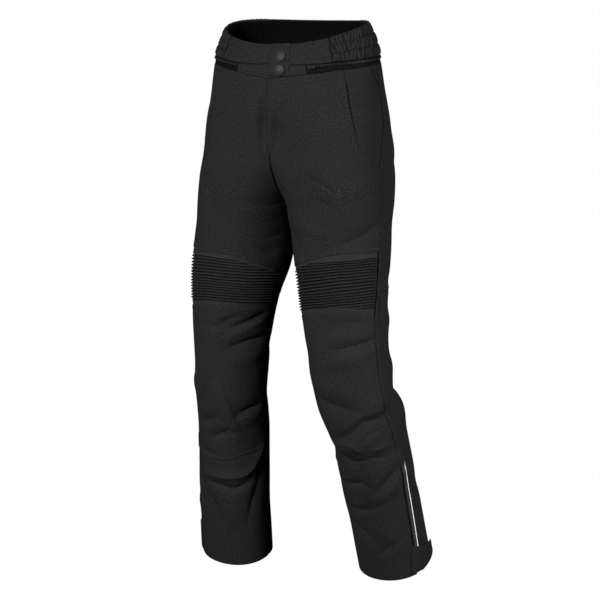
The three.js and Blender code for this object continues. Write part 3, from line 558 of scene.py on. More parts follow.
def woven(name, dark, light, thread, depth, rough, sheen, slack=0.35, shade_grooves=False):
    """Cloth with threads of a real width in mm, uneven dye and a slight sheen; grooves can get painted shade,
    a darker colour where little light reaches.
    """
    material, tree = blank_material(name)
    cut = add(tree, "ShaderNodeUVMap", uv_map="Cut")
    per_thread = 1 / (thread * MM)
    mapped = add(tree, "ShaderNodeMapping", {"Vector": cut.outputs[0], "Scale": (per_thread, per_thread, 1)})
    warp = add(tree, "ShaderNodeTexNoise", {"Vector": mapped.outputs[0], "Scale": 0.22, "Detail": 2.0})
    bent = add(
        tree, "ShaderNodeVectorMath", {0: warp.outputs["Color"], "Scale": slack}, operation="SCALE"
    )
    threads = add(tree, "ShaderNodeVectorMath", {0: mapped.outputs[0], 1: bent.outputs[0]}, operation="ADD")
    split = add(tree, "ShaderNodeSeparateXYZ", {0: threads.outputs[0]})
    waves = []
    for axis in (0, 1):
        turned = add(tree, "ShaderNodeMath", {0: split.outputs[axis], 1: np.pi}, operation="MULTIPLY")
        waves.append(add(tree, "ShaderNodeMath", {0: turned.outputs[0]}, operation="SINE"))
    weave = add(
        tree, "ShaderNodeMath", {0: waves[0].outputs[0], 1: waves[1].outputs[0]}, operation="MULTIPLY"
    )
    dye = add(
        tree, "ShaderNodeTexNoise",
        {"Vector": cut.outputs[0], "Scale": 450.0, "Detail": 3.0, "Roughness": 0.6}
    )
    mixed = add(
        tree, "ShaderNodeMath", {0: weave.outputs[0], 1: 0.10, 2: dye.outputs[0]}, operation="MULTIPLY_ADD"
    )
    colours = add(tree, "ShaderNodeValToRGB", {0: mixed.outputs[0]})
    colours.color_ramp.elements[0].position = 0.37
    colours.color_ramp.elements[0].color = linear(dark)
    colours.color_ramp.elements[1].position = 0.71
    colours.color_ramp.elements[1].color = linear(light)
    colour = colours.outputs[0]
    # Painted shade: the colour is mixed towards near black by how deep in a groove each point lies.
    if shade_grooves:
        groove = add(tree, "ShaderNodeAttribute", attribute_name="GrooveShade")
        colour = add(
            tree, "ShaderNodeMix", {0: groove.outputs["Fac"], 6: colour, 7: linear("#050505")},
            data_type="RGBA"
        ).outputs[2]
    rumple = add(
        tree, "ShaderNodeTexNoise", {"Vector": cut.outputs[0], "Scale": 70.0, "Detail": 3.0, "Roughness": 0.5}
    )
    soft = add(tree, "ShaderNodeBump", {"Height": rumple.outputs[0], "Distance": 0.0010, "Strength": 0.12})
    fine = add(
        tree, "ShaderNodeBump",
        {"Height": weave.outputs[0], "Distance": depth * MM, "Strength": 0.8, "Normal": soft.outputs[0]},
    )
    shine = add(tree, "ShaderNodeMapRange", {0: dye.outputs[0], 3: rough - 0.06, 4: rough + 0.06})
    shader = add(
        tree, "ShaderNodeBsdfPrincipled",
        {
            "Base Color": colour, "Roughness": shine.outputs[0], "Normal": fine.outputs[0],
            "Sheen Weight": sheen, "Sheen Roughness": 0.5, "Specular IOR Level": 0.03,
        },
    )
    add(tree, "ShaderNodeOutputMaterial", {0: shader.outputs[0]})
    return material


# Polyester fabric, plain woven and coated inside: a dull black with a fine grain. Its yarns are
# taken to lie 0.7 mm apart and are drawn 1.4 mm apart so that the grain shows.
textile = woven("polyester_oxford_cloth", "#080808", "#2b2b2b", 1.4, 0.11, 0.72, 0.003)


def thigh_side(drop):
    return np.where(drop < 214.5, pocket_edge(drop), side_seam(drop))


def declare(piece, node):
    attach(piece, "root")
    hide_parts(node)


def cloth(node, side, edges, top, end, size, sewn, material, pitch=4.0, thick=1.2, proud=0.0, seed=1,
          raised=None, keep=None, group=None, hinge=None):
    """One flat cut of cloth in its worn form, as a thin shell, with its rows of stitches noted."""
    fine = ("top" in sewn, "end" in sewn, "first" in sewn, "last" in sewn)
    drop, degrees = lay_out(side, edges, top, end, size, pitch, fine, hinge)
    u, v = lengths(form(side, drop, degrees))
    lift = sewn_lift(u, v, sewn, seed, proud=proud)
    if raised is not None:
        lift += raised(u, v, drop)
    outer = spot(side, drop, degrees, lift)
    inner = spot(side, drop, degrees, lift - thick)
    group = group or ("left" if side > 0 else "right")
    for edge, kind in sewn.items():
        for distance in STITCHED[kind]:
            shown = keep(drop[:, -1]) if keep is not None and edge == "last" else None
            sew(group, outer, inner, u, v, edge, distance, shown)
    piece = shell(f"{node}_cloth", outer, inner, u, v, material)
    declare(piece, node)
    return outer, inner, u, v


def pocket_gape(u, v, drop):
    """The pocket's edge stands away from the hip along its upper half."""
    return 2.4 * np.exp(-(((u[:, -1:] - u) / 14) ** 2)) * ease(44, 62, drop) * (1 - ease(110, 170, drop))


for hand, side in SIDES.items():
    cloth(
        f"front_panel_{hand}", side, (lambda d: middle_angle(d, -1), thigh_side),
        strip_seam, lambda a, s=side: rib_top(s, a), (210, 360),
        {"top": "turned", "end": "double", "first": "turned", "last": "double"}, textile,
        pitch=3.0,
        seed=11 + side, raised=pocket_gape, keep=lambda d: d < 216, hinge=-72.0,
    )

# Pocket sides: the cloth behind each slanted pocket opening, reaching under the front panel's edge.
for hand, side in SIDES.items():
    drop, degrees = lay_out(
        side, (lambda d: pocket_edge(d) - 3.0, side_seam), strip_seam, lambda a: 214.0 + 0 * a, (62, 182),
        4.0,
        (True, False, False, True),
    )
    u, v = lengths(form(side, drop, degrees))
    under = ease(0, 14, u)
    lift = sewn_lift(u, v, {"top": "turned", "last": "turned"}, 31 + side) * under - 2.9 * (1 - under)
    lift -= 2.2 * (1 - ease(4, 30, u)) * ease(44, 62, drop) * (1 - ease(110, 170, drop))
    piece = shell(
        f"pocket_side_{hand}_cloth", spot(side, drop, degrees, lift),
        spot(side, drop, degrees, lift - 1.0), u, v, textile
    )
    declare(piece, f"pocket_side_{hand}")

# Seat panels: the same polyester over the seat and the back of the thighs, sewn down the middle,
# to the side seam and to the calf behind the knee.
back_textile = woven("polyester_back_cloth", "#080808", "#292929", 1.4, 0.11, 0.76, 0.003)


def back_knee(side, degrees):
    """Seam behind the knee, level with the middle of the ribs."""
    share = 0.6
    inner = rib_top(side, -180.0) * (1 - share) + rib_end(side, -180.0) * share
    outer = rib_top(side, -22.0) * (1 - share) + rib_end(side, -22.0) * share
    return outer + (inner - outer) * np.clip((degrees + 22) / 202, 0, 1)


for hand, side in SIDES.items():
    cloth(
        f"seat_panel_{hand}", side, (lambda d: middle_angle(d, 1), side_seam),
        strip_seam, lambda a, s=side: back_knee(s, a), (270, 430),
        {"top": "turned", "end": "lapped", "first": "double" if side > 0 else "turned", "last": "lapped"},
        back_textile, seed=51 + side, hinge=72.0,
    )

# Calf panels: the back of each lower leg, down to a turned and stitched hem. Each closes the leg
# between the inside seam and the ankle zip.
ZIP_FRONT = -5.5
ZIP_BACK = 4.2
PIPING_BACK = 5.9
ANKLE_ZIP = ((9, -17.5), (100, -20), (193, -23), (262, -24.5))


def zip_middle(side, drop):
    return curve(ANKLE_ZIP, 1, np.clip(drop - knee_end(side, -22.0), 9, 262))


def front_side_edge(side, drop):
    start = knee_end(side, -22.0)
    share = ease(start, start + 9, drop)
    return side_seam(drop) * (1 - share) + (zip_middle(side, drop) + ZIP_FRONT) * share


def back_side_edge(side, drop):
    start = knee_end(side, -22.0)
    share = ease(start, start + 9, drop)
    return side_seam(drop) * (1 - share) + (zip_middle(side, drop) + PIPING_BACK) * share


for hand, side in SIDES.items():
    cloth(
        f"calf_panel_{hand}", side, (lambda d: 180.0 + 0 * d, lambda d, s=side: back_side_edge(s, d)),
        lambda a, s=side: back_knee(s, a), hem_drop, (250, 590),
        {"top": "turned", "first": "turned", "last": "lapped"}, back_textile, pitch=3.4,
        seed=71 + side,
    )

# Knee ribs: stretch cloth sewn over cord in level ribs, a plain strip above and below them. The
# ribs run parallel, so the slanted seam above cuts the upper ones off towards the inside leg.
# Last groove and rib pitch by angle, read down the leg.
RIB_LINES = {
    1: (
        (-180, 486, 5.0), (-125, 479.5, 4.9), (-97, 474.3, 4.87),
        (-70, 470.7, 5.0), (-40, 469.9, 5.2), (-20, 472.5, 5.4),
    ),
    -1: (
        (-180, 483, 5.9), (-146, 479.5, 5.65), (-116, 478.5, 5.25),
        (-87, 481, 5.05), (-56, 488.7, 5.1), (-20, 496, 5.15),
    ),
}
# Knitted polyamide with elastane: threads taken to lie 0.5 mm apart, drawn 1.0 mm apart. Painted shade
# darkens its colour down in the grooves, where little light reaches.
stretch = woven("stretch_polyamide_cloth", "#151515", "#2a2a2a", 1.0, 0.1, 0.66, 0.006, 0.2, True)
RIB_COUNT = {1: 17.5, -1: 15.5}


def paint_groove_shade(piece, depth):
    """Keeps how deep in a groove each point of the outer face lies, for painted shade in the cloth's colour.
    """
    held = np.concatenate([depth.reshape(-1), np.zeros(depth.size)]).astype(np.float32)
    piece.data.attributes.new("GrooveShade", "FLOAT", "POINT").data.foreach_set("value", held)


for hand, side in SIDES.items():
    drop, degrees = lay_out(
        side, (lambda d: -180.0 + 0 * d, side_seam), lambda a, s=side: rib_top(s, a),
        lambda a, s=side: rib_end(s, a), (230, 118), 0.62, (False, False, False, False),
    )
    drop = drop[:, ::4]
    degrees = degrees[:, ::4]
    u, v = lengths(form(side, drop, degrees))
    last = curve(RIB_LINES[side], 1, degrees)
    pitch = curve(RIB_LINES[side], 2, degrees)
    count = (last - drop) / pitch
    inside = ease(4.5, 6.5, drop - rib_top(side, degrees)) * ease(-0.5, -0.2, count)
    inside = inside * ease(6.0, 8.5, rib_end(side, degrees) - drop)
    inside = inside * ease(-RIB_COUNT[side] - 0.1, -RIB_COUNT[side] + 0.3, -count)
    ends = ease(1, 7, u) * ease(1, 7, u[:, -1:] - u)
    ridge = 1 - np.abs(np.cos(np.pi * count)) ** 2.6
    sway = 0.3 * ripple(u / 9, v / 4, 90 + side)
    plain = sewn_lift(u, v, {"top": "under", "end": "under", "first": "turned", "last": "turned"}, 81 + side)
    lift = plain + inside * ends * ((4.2 + sway) * ridge - 2.0)
    piece = shell(
        f"knee_rib_{hand}_cloth", spot(side, drop, degrees, lift), spot(side, drop, degrees, -2.7 + 0 * lift),
        u, v, stretch,
    )
    # Painted shade: darker colour down in the rib grooves.
    paint_groove_shade(piece, inside * ends * np.abs(np.cos(np.pi * count)) ** 3)
    declare(piece, f"knee_rib_{hand}")

# Knee panels: outer cloth over the knee pad, between the ribs and the double stitched curved seam.
for hand, side in SIDES.items():
    cloth(
        f"knee_panel_{hand}", side, (lambda d: -180.0 + 0 * d, side_seam),
        lambda a, s=side: rib_end(s, a), lambda a, s=side: knee_end(s, a), (215, 295),
        {"top": "lapped", "end": "double", "first": "turned", "last": "turned"}, textile,
        seed=101 + side,
        pitch=2.5,
    )

# Shin panels: outer cloth from the knee seam to the hem, beside the ankle zip.
for hand, side in SIDES.items():
    cloth(
        f"shin_panel_{hand}", side, (lambda d: -180.0 + 0 * d, lambda d, s=side: front_side_edge(s, d)),
        lambda a, s=side: knee_end(s, a), hem_drop, (205, 262),
        {"top": "under", "first": "turned", "last": "lapped"}, textile, seed=121 + side, pitch=2.5,
    )

# Ankle zips: woven polyester tape with moulded teeth, closed from the cloth cap down under the
# hem strap, and white reflective piping sewn in along its back edge.
zip_tape = woven("zip_tape_twill", "#060606", "#0e0e0e", 0.9, 0.1, 0.7, 0.003)


def smooth_plastic(name, colour, rough, grain, gloss):
    """Moulded plastic or coated film with a faint uneven surface."""
    material, tree = blank_material(name)
    place = add(tree, "ShaderNodeTexCoord")
    spots = add(
        tree, "ShaderNodeTexNoise", {"Vector": place.outputs["Object"], "Scale": grain, "Detail": 4.0}
    )
    shine = add(tree, "ShaderNodeMapRange", {0: spots.outputs[0], 3: rough - 0.08, 4: rough + 0.08})
    tint = add(tree, "ShaderNodeValToRGB", {0: spots.outputs[0]})
    tint.color_ramp.elements[0].color = linear(colour[0])
    tint.color_ramp.elements[1].color = linear(colour[1])
    bump = add(tree, "ShaderNodeBump", {"Height": spots.outputs[0], "Distance": 0.0002, "Strength": 0.4})
    shader = add(
        tree, "ShaderNodeBsdfPrincipled",
        {
            "Base Color": tint.outputs[0], "Roughness": shine.outputs[0], "Normal": bump.outputs[0],
            "Specular IOR Level": gloss,
        },
    )
    add(tree, "ShaderNodeOutputMaterial", {0: shader.outputs[0]})
    return material


# Acetal zip teeth: hard black plastic with a satin skin.
acetal = smooth_plastic("acetal_zip_teeth", ("#242424", "#343434"), 0.45, 900.0, 0.16)
# Reflective piping: glass beads on a grey-white film, wrapped round a cord.
reflective = smooth_plastic("reflective_bead_film", ("#c4c6c7", "#e2e3e3"), 0.55, 700.0, 0.2)


def in_rows(name, paths, across, size, pitch, material, thread=False):
    """Zip teeth or stitches in rows along lines of points, by geometry nodes, as one plain mesh."""
    mesh = bpy.data.meshes.new(name)
    points = np.concatenate(paths) * MM
    edges = []
    first = 0
    for path in paths:
        edges += [(first + i, first + i + 1) for i in range(len(path) - 1)]
        first += len(path)
    mesh.from_pydata(points.tolist(), edges, [])
    line = bpy.data.objects.new(name, mesh)
    bpy.context.scene.collection.objects.link(line)
    tree = bpy.data.node_groups.new(f"{name}_nodes", "GeometryNodeTree")
    for label, kind in (
        ("Line", "NodeSocketGeometry"), ("Pitch", "NodeSocketFloat"), ("Size", "NodeSocketVector")
    ):
        tree.interface.new_socket(label, in_out="INPUT", socket_type=kind)
    tree.interface.new_socket("Row", in_out="OUTPUT", socket_type="NodeSocketGeometry")
    given = add(tree, "NodeGroupInput")
    curve_line = add(tree, "GeometryNodeMeshToCurve", {"Mesh": given.outputs["Line"]})
    spread_out = add(
        tree, "GeometryNodeResampleCurve", {"Curve": curve_line.outputs[0], "Length": given.outputs["Pitch"]},
        mode="LENGTH",
    )
    tangent = add(tree, "GeometryNodeInputTangent")
    along = add(tree, "FunctionNodeAlignRotationToVector", {"Vector": tangent.outputs[0]}, axis="Z")
    out = add(
        tree, "FunctionNodeAlignRotationToVector", {"Rotation": along.outputs[0], "Vector": across}, axis="X",
        pivot_axis="Z",
    )
    if thread:
        ball = add(tree, "GeometryNodeMeshUVSphere", {"Segments": 6, "Rings": 4, "Radius": 0.5})
        single = add(
            tree, "GeometryNodeTransform", {"Geometry": ball.outputs[0], "Scale": given.outputs["Size"]}
        )
    else:
        single = add(tree, "GeometryNodeMeshCube", {"Size": given.outputs["Size"]})
    placed = add(
        tree, "GeometryNodeInstanceOnPoints",
        {"Points": spread_out.outputs[0], "Instance": single.outputs[0], "Rotation": out.outputs[0]},
    )
    real = add(tree, "GeometryNodeRealizeInstances", {0: placed.outputs[0]})
    painted = add(tree, "GeometryNodeSetMaterial", {"Geometry": real.outputs[0], "Material": material})
    add(tree, "NodeGroupOutput", {0: painted.outputs[0]})
    modifier = line.modifiers.new("Rows", "NODES")
    modifier.node_group = tree
    sockets = {item.name: item.identifier for item in tree.interface.items_tree if item.in_out == "INPUT"}
    modifier[sockets["Pitch"]] = pitch * MM
    modifier[sockets["Size"]] = tuple(s * MM for s in size)
    graph = bpy.context.evaluated_depsgraph_get()
    made = bpy.data.meshes.new_from_object(line.evaluated_get(graph))
    line.modifiers.remove(modifier)
    bpy.data.objects.remove(line)
    made.name = name
    piece = bpy.data.objects.new(name, made)
    bpy.context.scene.collection.objects.link(piece)
    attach(piece, "root")
    return piece


for hand, side in SIDES.items():
    start = knee_end(side, -22.0) + 9
    drop, degrees = lay_out(
        side,
        (lambda d, s=side: zip_middle(s, d) + ZIP_FRONT - 1.2, lambda d, s=side: zip_middle(s, d) + ZIP_BACK),
        lambda a, s=start: s + 0 * a, lambda a: hem_drop(a) - 1.0, (13, 250), 2.5,
        (False, False, False, False),
    )
    u, v = lengths(form(side, drop, degrees))
    lift = -0.9 + 0.12 * ripple(u / 5, v / 9, 140 + side)
    tape = shell(
        f"ankle_zip_{hand}_tape", spot(side, drop, degrees, lift), spot(side, drop, degrees, lift - 0.7),
        u, v, zip_tape
    )
    rows = np.linspace(start + 1, HEM - 4, 90)
    chain = spot(side, rows, zip_middle(side, rows) + 0.3, 0.1)
    aside = spot(side, rows, zip_middle(side, rows) + 2, 0.1)[45] - chain[45]
    for number, shift in enumerate((-0.55, 0.55)):
        row = spot(side, rows + 1.4 * number, zip_middle(side, rows) + 0.3 + shift, 0.1)
        piece = in_rows(f"ankle_zip_{hand}_teeth_{number}", [row], tuple(aside), (3.2, 1.8, 1.4), 2.8, acetal)
    declare(tape, f"ankle_zip_{hand}")
    # Piping: a cord in folded film, half sunk in the seam.
    edge = lambda d, s=side: zip_middle(s, d) + ZIP_BACK + 0.1
    far = lambda d, s=side: zip_middle(s, d) + PIPING_BACK - 0.1
    drop, degrees = lay_out(
        side, (edge, far), lambda a, s=start: s - 3 + 0 * a, lambda a: hem_drop(a) - 1.0, (2.4, 250), 2.5,
        (False, False, False, False),
    )
    share = np.linspace(0, 1, 9)[None, :]
    degrees = degrees[:, :1] + (degrees[:, -1:] - degrees[:, :1]) * share
    drop = np.repeat(drop[:, :1], 9, 1)
    u, v = lengths(form(side, drop, degrees))
    lift = -0.2 + 1.7 * np.sqrt(np.clip(1 - (2 * share - 1) ** 2, 0, 1)) + 0 * drop
    piece = shell(
        f"ankle_piping_{hand}_film", spot(side, drop, degrees, lift),
        spot(side, drop, degrees, -0.9 + 0 * lift),
        u, v, reflective,
    )
    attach(piece, "root")
    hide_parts(f"ankle_piping_{hand}")

# Zip caps and hem straps: a folded cloth cap over the top of each ankle zip, and a hook-and-loop
# strap that closes the hem over its foot. The strap narrows to its free end at the back.
STRAP_START = ((955, -30), (1030, -40))
STRAP_TOP = ((-42, 960), (-30, 967), (-14, 979), (0, 988), (12, 997), (34, 1013))
STRAP_END = 34.0
for hand, side in SIDES.items():
    top = knee_end(side, -22.0) - 22
    drop, degrees = lay_out(
        side, (lambda d: -25.0 + 0 * d, lambda d: -11.5 + 0 * d), lambda a, t=top: t + 0 * a,
        lambda a, t=top: t + 33 + 0 * a, (17, 34), 1.0, (False, False, False, False),
    )
    u, v = lengths(form(side, drop, degrees))
    round_over = ease(0, 3, u) * ease(0, 3, u[:, -1:] - u)
    lift = 0.9 + 1.2 * round_over * ease(-1, 4, v) + 0.2 * ripple(u / 4, v / 5, 160 + side)
    piece = shell(
        f"zip_cap_{hand}_cloth", spot(side, drop, degrees, lift), spot(side, drop, degrees, lift - 0.9), u,
        v, textile
    )
    declare(piece, f"zip_cap_{hand}")
    drop, degrees = lay_out(
        side, (lambda d: curve(STRAP_START, 1, d), lambda d: STRAP_END + 0 * d),
        lambda a: curve(STRAP_TOP, 1, a),
        lambda a: hem_drop(a) - 5.0, (86, 50), 2.0, (False, False, False, False),
    )
    u, v = lengths(form(side, drop, degrees))
    edge = np.minimum(np.minimum(u, u[:, -1:] - u), np.minimum(v, v[-1:, :] - v))
    free_end = ease(60, 92, u)
    lift = 1.9 + 0.9 * ease(0, 24, u) + 0.7 * ease(0, 3, edge) + 2.6 * free_end**2
    lift += 0.4 * ripple(u / 14, v / 14, 170 + side) * ease(0, 12, u)
    lift -= 0.35 * np.exp(-(((edge - 3.2) / 0.9) ** 2))
    outer = spot(side, drop, degrees, lift)
    inner = spot(side, drop, degrees, lift - 1.6)
    for sewn_edge in ("top", "end", "first", "last"):
        sew(hand, outer, inner, u, v, sewn_edge, 3.2)
    piece = shell(f"hem_strap_{hand}_cloth", outer, inner, u, v, textile)
    declare(piece, f"hem_strap_{hand}")

# Waistband: a doubled band of the outer cloth at the front and back, and at each side an elastic
# stretch with two rows of stitches through it, gathered into short upright folds.
def crumpled(u, v, drop):
    """Flat wrinkles along the band, where the wearer bends."""
    return 0.9 * ripple(u / 17, v / 4.5, 305) * ease(2, 7, v) * ease(2, 7, v[-1:, :] - v)


for hand, side in SIDES.items():
    cloth(
        f"waistband_front_{hand}", side, (lambda d: middle_angle(d, -1), lambda d: -37.0 + 0 * d),
        lambda a: RIM + 0 * a, band_seam, (108, 36), {"top": "turned", "end": "lapped", "last": "turned"},
        textile, pitch=2.0, thick=2.4, proud=0.9, seed=181 + side, group="waist", raised=crumpled,
    )
    cloth(
        f"waist_strip_{hand}", side, (lambda d: middle_angle(d, -1), lambda d: -57.0 + 0 * d),
        band_seam, strip_seam, (66, 24), {"top": "turned", "end": "lapped", "last": "lapped"},
        textile, pitch=2.0, proud=0.1, seed=191 + side, group="waist", raised=crumpled,
    )
    drop, degrees = lay_out(
        side, (lambda d: -37.0 + 0 * d, lambda d: 40.0 + 0 * d), lambda a: RIM + 0 * a, band_seam,
        (172, 56), 1.0,
        (False, False, False, False),
    )
    u, v = lengths(form(side, drop, degrees))
    t = v / v[-1:, :]
    rng = np.random.default_rng(200 + side)
    lift = np.zeros(u.shape)
    for channel in range(3):
        inside = np.exp(-(((t - (channel + 0.5) / 3) / 0.16) ** 4))
        at = -4.0
        while at < 180:
            at += rng.uniform(5.5, 10.5)
            lean = rng.uniform(-5, 5)
            tall = rng.uniform(1.4, 3.0)
            away = u - at - lean * (t * 3 - channel - 0.5)
            lift += inside * tall * np.exp(-((away / 2.1) ** 2))
    lift += 0.6 - 0.8 * np.exp(-(((t - 1 / 3) / 0.02) ** 2)) - 0.8 * np.exp(-(((t - 2 / 3) / 0.02) ** 2))
    lift += -0.9 * np.exp(-((v[-1:, :] - v) / 1.4) ** 2) - 0.9 * np.exp(-((u / 1.2) ** 2))
    outer = spot(side, drop, degrees, lift)
    inner = spot(side, drop, degrees, -2.0 + 0 * lift)
    for row in (len(t) // 3, 2 * len(t) // 3):
        stitch_lines["waist"].append(outer[row] + 0.1 * (outer[row] - inner[row]))
    sew("waist", outer, inner, u, v, "end", 2.6)
    piece = shell(f"waistband_elastic_{hand}_cloth", outer, inner, u, v, stretch)
    # Painted shade: darker colour in the low cloth between the gathers.
    paint_groove_shade(piece, 0.8 * (1 - np.clip((lift - 0.3) / 2.0, 0, 1)))
    declare(piece, f"waistband_elastic_{hand}")


def round_band(name, node, start, drops, lift, thick, material, rows=()):
    """A band over the back of the waist, from one side's angle to the other's."""
    angles = np.arange(start, 90.01, 1.0)
    parts = []
    for side in (-1, 1):
        row = angles if side < 0 else angles[::-1]
        degrees = np.repeat(row[None, :], len(drops[1]), 0)
        t = np.array(drops[1])[:, None]
        drop = drops[0](degrees) * (1 - t) + drops[2](degrees) * t
        parts.append((side, drop, degrees))
    base = np.concatenate([form(s, d, a)[:, : -1 if s < 0 else None] for s, d, a in parts], 1)
    u, v = lengths(base)
    heights = lift(u, v)
    cut = parts[0][1].shape[1] - 1
    split = (heights[:, :cut], heights[:, cut:])
    outer = []
    inner = []
    for (side, drop, degrees), height in zip(parts, split):
        keep = slice(None, -1) if side < 0 else slice(None)
        outer.append(spot(side, drop[:, keep], degrees[:, keep], height))
        inner.append(spot(side, drop[:, keep], degrees[:, keep], height - thick))
    outer = np.concatenate(outer, 1)
    inner = np.concatenate(inner, 1)
    for edge, distance in rows:
        sew("waist", outer, inner, u, v, edge, distance)
    declare(shell(name, outer, inner, u, v, material), node)


fine = np.concatenate(
    [np.array([0, 0.02, 0.05, 0.09]), np.linspace(0.14, 0.86, 12), np.array([0.91, 0.95, 0.98, 1])]
)


def band_lift(u, v):
    return sewn_lift(
        u, v, {"top": "turned", "end": "lapped", "first": "lapped", "last": "lapped"}, 221, proud=0.8
    )


round_band(
    "waistband_back_cloth", "waistband_back", 40.2, (lambda a: RIM + 0 * a, fine, band_seam), band_lift, 2.4,
    textile, (("end", 2.4), ("first", 2.4), ("last", 2.4)),
)

# Jacket zip: one half of a coarse zip under the waistband, from hip to hip round the back, with
# its slider parked at the left end. Its tape is sewn in under the band's edge.


def tape_lift(u, v):
    return -0.7 + 0.6 * ease(6, 2, v) + 0.25 * ripple(u / 12, v / 8, 231)


round_band(
    "jacket_zip_tape", "jacket_zip", -57.0,
    (lambda a: band_seam(a) + 0.3, np.linspace(0, 1, 9), lambda a: strip_seam(a) - 0.2),
    tape_lift, 0.9, zip_tape,
)
# Moulded acetal teeth, black and worn dull: a grey dotted line with little shine.
dull_acetal = smooth_plastic("acetal_coarse_teeth", ("#111111", "#232323"), 0.55, 700.0, 0.12)
for number, side in enumerate((-1, 1)):
    angles = np.linspace(-55.5, 90, 200)
    rows = band_seam(angles) + 3.8
    row = spot(side, rows, angles, 0.7)
    for part, (start, stop) in enumerate(((0, 100), (99, 200))):
        middle = (start + stop) // 2
        outwards = spot(side, rows, angles, 1.7)[middle] - row[middle]
        piece = in_rows(
            f"jacket_zip_teeth_{number}_{part}", [row[start:stop]], tuple(outwards), (2.0, 3.4, 2.2), 4.3,
            dull_acetal
        )

# Waist lining: knitted spacer mesh with round holes drawn 4.4 mm apart, seen through the open top.
mesh_knit, tree = blank_material("knitted_spacer_mesh")
cut = add(tree, "ShaderNodeUVMap", uv_map="Cut")
turned_cut = add(
    tree, "ShaderNodeMapping",
    {"Vector": cut.outputs[0], "Rotation": (0, 0, np.pi / 4), "Scale": (1 / 0.0044, 1 / 0.0044, 1)}
)
cells = add(tree, "ShaderNodeSeparateXYZ", {0: turned_cut.outputs[0]})
sides = []
for axis in (0, 1):
    phase = add(tree, "ShaderNodeMath", {0: cells.outputs[axis], 1: 2 * np.pi}, operation="MULTIPLY")
    sides.append(add(tree, "ShaderNodeMath", {0: phase.outputs[0]}, operation="COSINE"))
both = add(tree, "ShaderNodeMath", {0: sides[0].outputs[0], 1: sides[1].outputs[0]}, operation="ADD")
hole = add(tree, "ShaderNodeMapRange", {0: both.outputs[0], 1: 0.2, 2: 1.1})
colours = add(
    tree, "ShaderNodeMix", {0: hole.outputs[0], 6: linear("#0b0b0b"), 7: linear("#010101")}, data_type="RGBA"
)
pits = add(
    tree, "ShaderNodeBump", {"Height": hole.outputs[0], "Distance": 0.0012, "Strength": 0.9}, invert=True
)
shader = add(
    tree, "ShaderNodeBsdfPrincipled",
    {
        "Base Color": colours.outputs[2], "Roughness": 0.85, "Normal": pits.outputs[0],
        "Specular IOR Level": 0.03,
    },
)
add(tree, "ShaderNodeOutputMaterial", {0: shader.outputs[0]})
angles = np.concatenate([np.arange(-89.8, 89.9, 1.5), [90.0]])
parts = []
for side, row in ((-1, angles), (1, angles[::-1])):
    degrees = np.repeat(row[None, :], 40, 0)
    drop = np.repeat(np.linspace(RIM + 1.5, 62, 40)[:, None], len(row), 1)
    keep = slice(None, -1) if side < 0 else slice(None)
    parts.append((side, drop[:, keep], degrees[:, keep]))
base = np.concatenate([form(s, d, a) for s, d, a in parts], 1)
u, v = lengths(base)
heights = -3.6 + 0.35 * ripple(u / 18, v / 18, 241)
cut_at = parts[0][1].shape[1]
split = (heights[:, :cut_at], heights[:, cut_at:])
outer = np.concatenate([spot(s, d, a, h) for (s, d, a), h in zip(parts, split)], 1)
inner = np.concatenate([spot(s, d, a, h - 0.9) for (s, d, a), h in zip(parts, split)], 1)
lining = shell("waist_lining_mesh", outer, inner, u, v, mesh_knit)
declare(lining, "waist_lining")

# Fly and waist tab: the left front laps over the right. The fly flap runs from the tab to its
# curved end above the crotch, and the tab closes over it with two snaps.
fly = []
for drop, reach in ((33.4, 20), (58, 21), (84, 21), (110, 20), (134, 18), (154, 15), (170, 10), (182, 4)):
    fly.append((drop, reach + 10))
rows = np.linspace(33.4, 182, 60)
widths = np.linspace(0, 1, 31)
start = middle_angle(rows, -1)
per = 1 / np.linalg.norm(form(1, rows, start + 0.5) - form(1, rows, start - 0.5), axis=-1)
wide = curve(fly, 1, rows)
degrees = start[:, None] + (wide * per)[:, None] * widths[None, :]
drop = np.repeat(rows[:, None], 31, 1)
u, v = lengths(form(1, drop, degrees))
lap = (1 - ease(0, 1, widths)[None, :]) * (1 - 0.85 * ease(158, 182, drop))
lift = -0.1 + 1.9 * lap + 0.25 * ripple(u / 11, v / 14, 251) * ease(0, 8, u)
lift -= 0.8 * np.exp(-(((u - wide[:, None] + 10) / 1.5) ** 2))
outer = spot(1, drop, degrees, lift)
inner = spot(1, drop, degrees, lift - 0.6 - 0.5 * lap)
shift = -3.4 + 0.5 * ripple(v[:, :1] / 14, 0 * v[:, :1], 253)
outer[:, :1, 0] += shift
inner[:, :1, 0] += shift
u, v = lengths(outer)
flap = shell("fly_flap_cloth", outer, inner, u, v, textile)
reach = wide - 10.0
sunk = (1 - ease(0, 1, reach / wide)) * (1 - 0.85 * ease(158, 182, rows))
stitch_lines["waist"].append(spot(1, rows, start + reach * per, 1.9 * sunk - 0.6))
declare(flap, "fly_flap")

drop, degrees = lay_out(
    1, (lambda d: -89.6 + 0 * d, lambda d: -71.0 + 0 * d), lambda a: RIM - 0.6 + 0 * a,
    lambda a: 27.0 + 0 * a,
    (38, 58), 1.2, (False, False, False, False),
)
u, v = lengths(form(1, drop, degrees))
edge = np.minimum(np.minimum(u, u[:, -1:] - u), v[-1:, :] - v)
lift = 2.1 + 0.8 * ease(0, 2, edge) + 0.25 * ripple(u / 9, v / 11, 261)
lift -= 0.35 * np.exp(-(((edge - 3.0) / 0.8) ** 2))
for at in (21, 46):
    lift -= 0.5 * np.exp(-((np.hypot(u - 19, v - at) / 14) ** 2))
outer = spot(1, drop, degrees, lift)
inner = spot(1, drop, degrees, lift - 1.5)
outer[:, 0, 0] -= 3.4
inner[:, 0, 0] -= 3.4
for sewn_edge in ("end", "last"):
    sew("waist", outer, inner, u, v, sewn_edge, 3.0)
tab = shell("waist_tab_cloth", outer, inner, u, v, textile)
declare(tab, "waist_tab")

# Snaps and zip slider: pressed steel in a gunmetal finish, the domes rolled over their rims.


